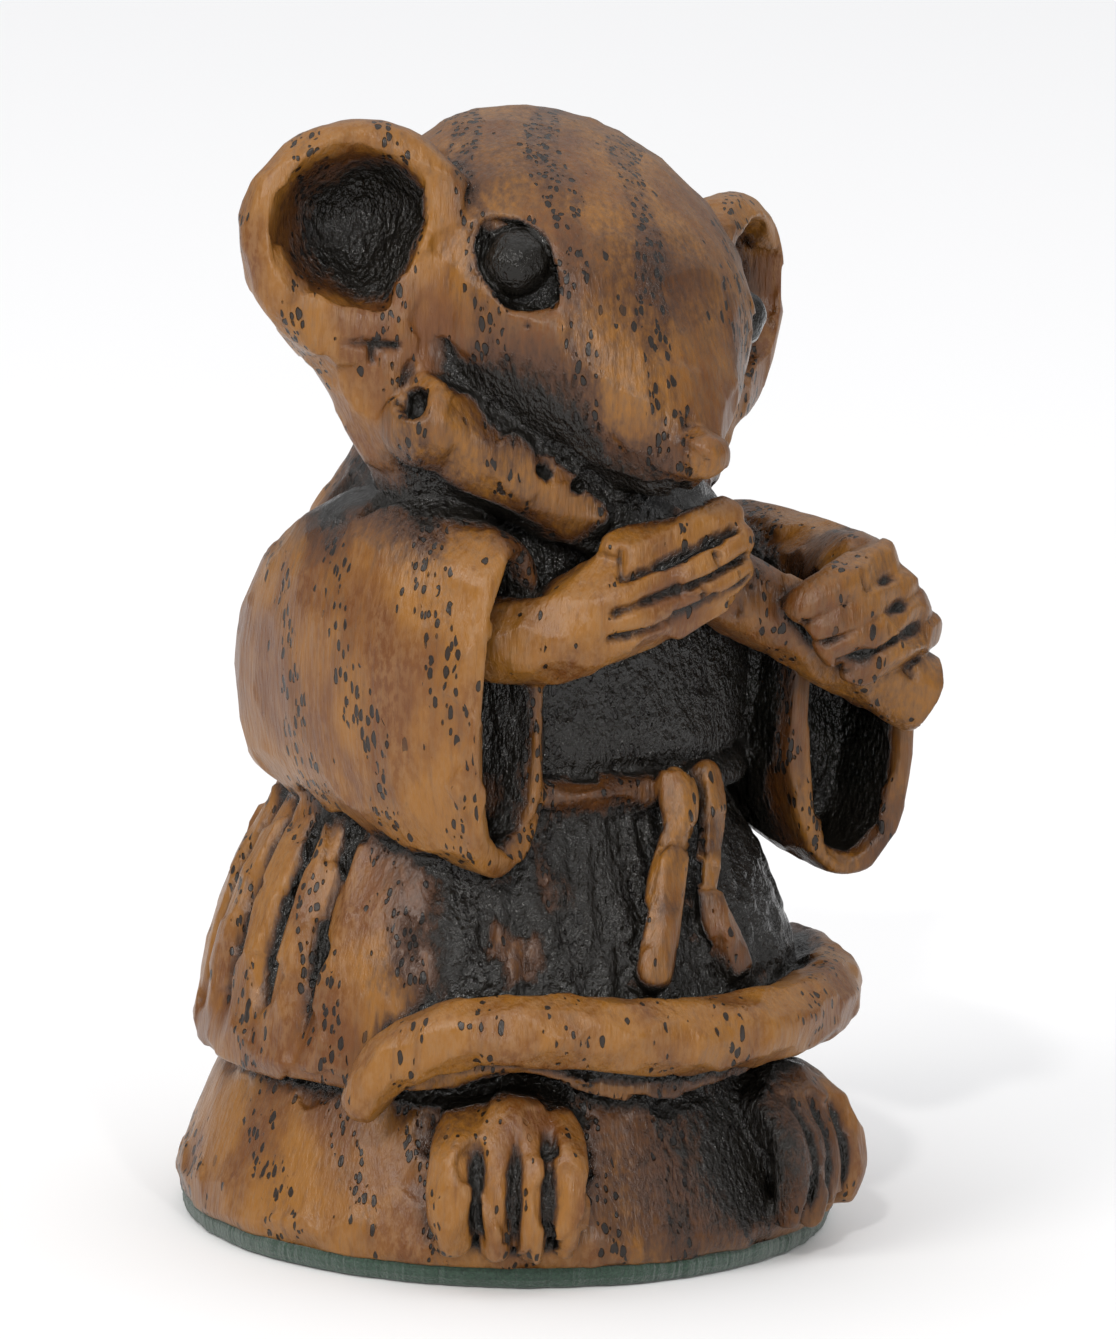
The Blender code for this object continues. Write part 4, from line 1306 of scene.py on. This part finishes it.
def casting():
    """The whole figure as one piece, in metres where the CAD has it."""
    mesh, form_shares = joined_mesh()
    cells = filled_cells(mesh)
    carved(mesh, form_shares(coordinates(mesh)))
    fine = linked("fine", mesh)
    fewer = fine.modifiers.new("fewer faces", "DECIMATE")
    mesh.calc_loop_triangles()
    fewer.ratio = MOST_TRIANGLES / len(mesh.loop_triangles)
    mesh = result_of(fine)
    stain(mesh, cells, form_shares(coordinates(mesh)))
    mesh.transform(Matrix.Translation((0, 0, FIGURE_LOW.z)) @ Matrix.Scale(UNIT, 4))
    mesh.shade_smooth()
    mesh.materials.clear()
    mesh.materials.append(resin_material())
    piece = linked("carved_mouse", mesh)
    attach(piece, "root")
    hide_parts("mouse_figure")


def felt():
    """The felt pad, with a soft uneven edge."""
    body = bmesh.new()
    radius = (FELT_HIGH.x - FELT_LOW.x) / 2
    thick = FIGURE_LOW.z + 0.1 * UNIT
    rng = np.random.default_rng(21)
    sides = 720
    ragged = np.convolve(rng.uniform(-1, 1, sides + 8), np.ones(9) / 9, "valid")
    profile = ((0.0, -0.35), (0.12, 0.05), (0.45, 0.25), (0.8, 0.3), (1.0, 0.15))
    loops = []
    for share, out in profile:
        loop = []
        for i in range(sides):
            angle = 2 * math.pi * i / sides
            reach = radius + (out + 0.35 * ragged[i]) * UNIT
            loop.append(Vector((math.cos(angle) * reach, math.sin(angle) * reach, thick * share)))
        loops.append(loop)
    shell(body, loops)
    mesh = mesh_of(body, "felt_underside")
    mesh.materials.append(felt_material())
    piece = linked("felt_underside", mesh)
    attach(piece, "root")
    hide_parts("felt_pad")


# Lamps in metres, watts and degrees: name, azimuth, elevation, size, power and colour
LAMP_AIM = Vector((0.0, 0.0, 0.036))
LAMP_DISTANCE = 1.5
LAMPS = (
    ("key", -78, 30, 0.55, 6.8, (1.0, 0.97, 0.93)),
    ("front", -14, 14, 0.09, 4.6, (1.0, 0.98, 0.95)),
    ("flash", -44, 36, 0.09, 4.6, (1.0, 0.98, 0.95)),
)


def way_out(azimuth, elevation):
    """The way from the figure to a lamp or the camera, from angles in degrees."""
    level = direction(math.radians(azimuth)) * math.cos(math.radians(elevation))
    return level + Vector((0, 0, math.sin(math.radians(elevation))))


def studio():
    """A plain pale floor and soft light."""
    body = bmesh.new()
    bmesh.ops.create_circle(body, cap_ends=True, segments=96, radius=4.0)
    floor = linked("floor", mesh_of(body, "floor"))
    pale = bpy.data.materials.new("pale_floor")
    pale.use_nodes = True
    shade(pale, Base_Color=(0.91, 0.91, 0.915, 1), Roughness=0.8)
    floor.data.materials.append(pale)

    world = bpy.data.worlds.new("studio")
    world.use_nodes = True
    tree = world.node_tree
    ways = tree.nodes.new("ShaderNodeTexCoord")
    upward = tree.nodes.new("ShaderNodeSeparateXYZ")
    tree.links.new(ways.outputs["Generated"], upward.inputs[0])
    sky = tree.nodes["Background"]
    feed(tree, sky.inputs["Color"], (0.985, 0.99, 1.0, 1))
    feed(tree, sky.inputs["Strength"], remapped(tree, upward.outputs[2], 0.0, 1.0, 0.30, 1.22))
    bpy.context.scene.world = world

    for name, azimuth, elevation, size, power, colour in LAMPS:
        light = bpy.data.lights.new(name, "AREA")
        light.size = size
        light.energy = power
        light.color = colour
        lamp = linked(name, light)
        back = way_out(azimuth, elevation)
        lamp.location = LAMP_AIM + back * LAMP_DISTANCE
        lamp.rotation_euler = back.to_track_quat("Z", "Y").to_euler()


# Camera of the photograph, in degrees, metres and pixels of the photograph
PICTURE_HEIGHT = 1339
CAMERA_AZIMUTH, CAMERA_ELEVATION, CAMERA_ROLL = -32.0, 10.0, 1.3
CAMERA_AIM = Vector((0.005365, 0.0036435, 0.0349477))
CAMERA_DISTANCE = 0.48
PIXELS_PER_MM = 15.2
SENSOR = 36.0


def camera():
    back = way_out(CAMERA_AZIMUTH, CAMERA_ELEVATION)
    right = direction(math.radians(CAMERA_AZIMUTH + 90))
    up = back.cross(right)
    roll = math.radians(CAMERA_ROLL)
    across = right * math.cos(roll) + up * math.sin(roll)
    upward = up * math.cos(roll) - right * math.sin(roll)
    eye = linked("camera", bpy.data.cameras.new("camera"))
    eye.data.sensor_width = SENSOR
    eye.data.lens = PIXELS_PER_MM * CAMERA_DISTANCE * 1000 / PICTURE_HEIGHT * SENSOR
    eye.data.clip_start = 0.01
    turn = Matrix((across, upward, back)).transposed().to_4x4()
    eye.matrix_world = Matrix.Translation(CAMERA_AIM + back * CAMERA_DISTANCE) @ turn
    bpy.context.scene.camera = eye


camera()
studio()
casting()
felt()
bpy.context.scene.view_settings.view_transform = "Standard"
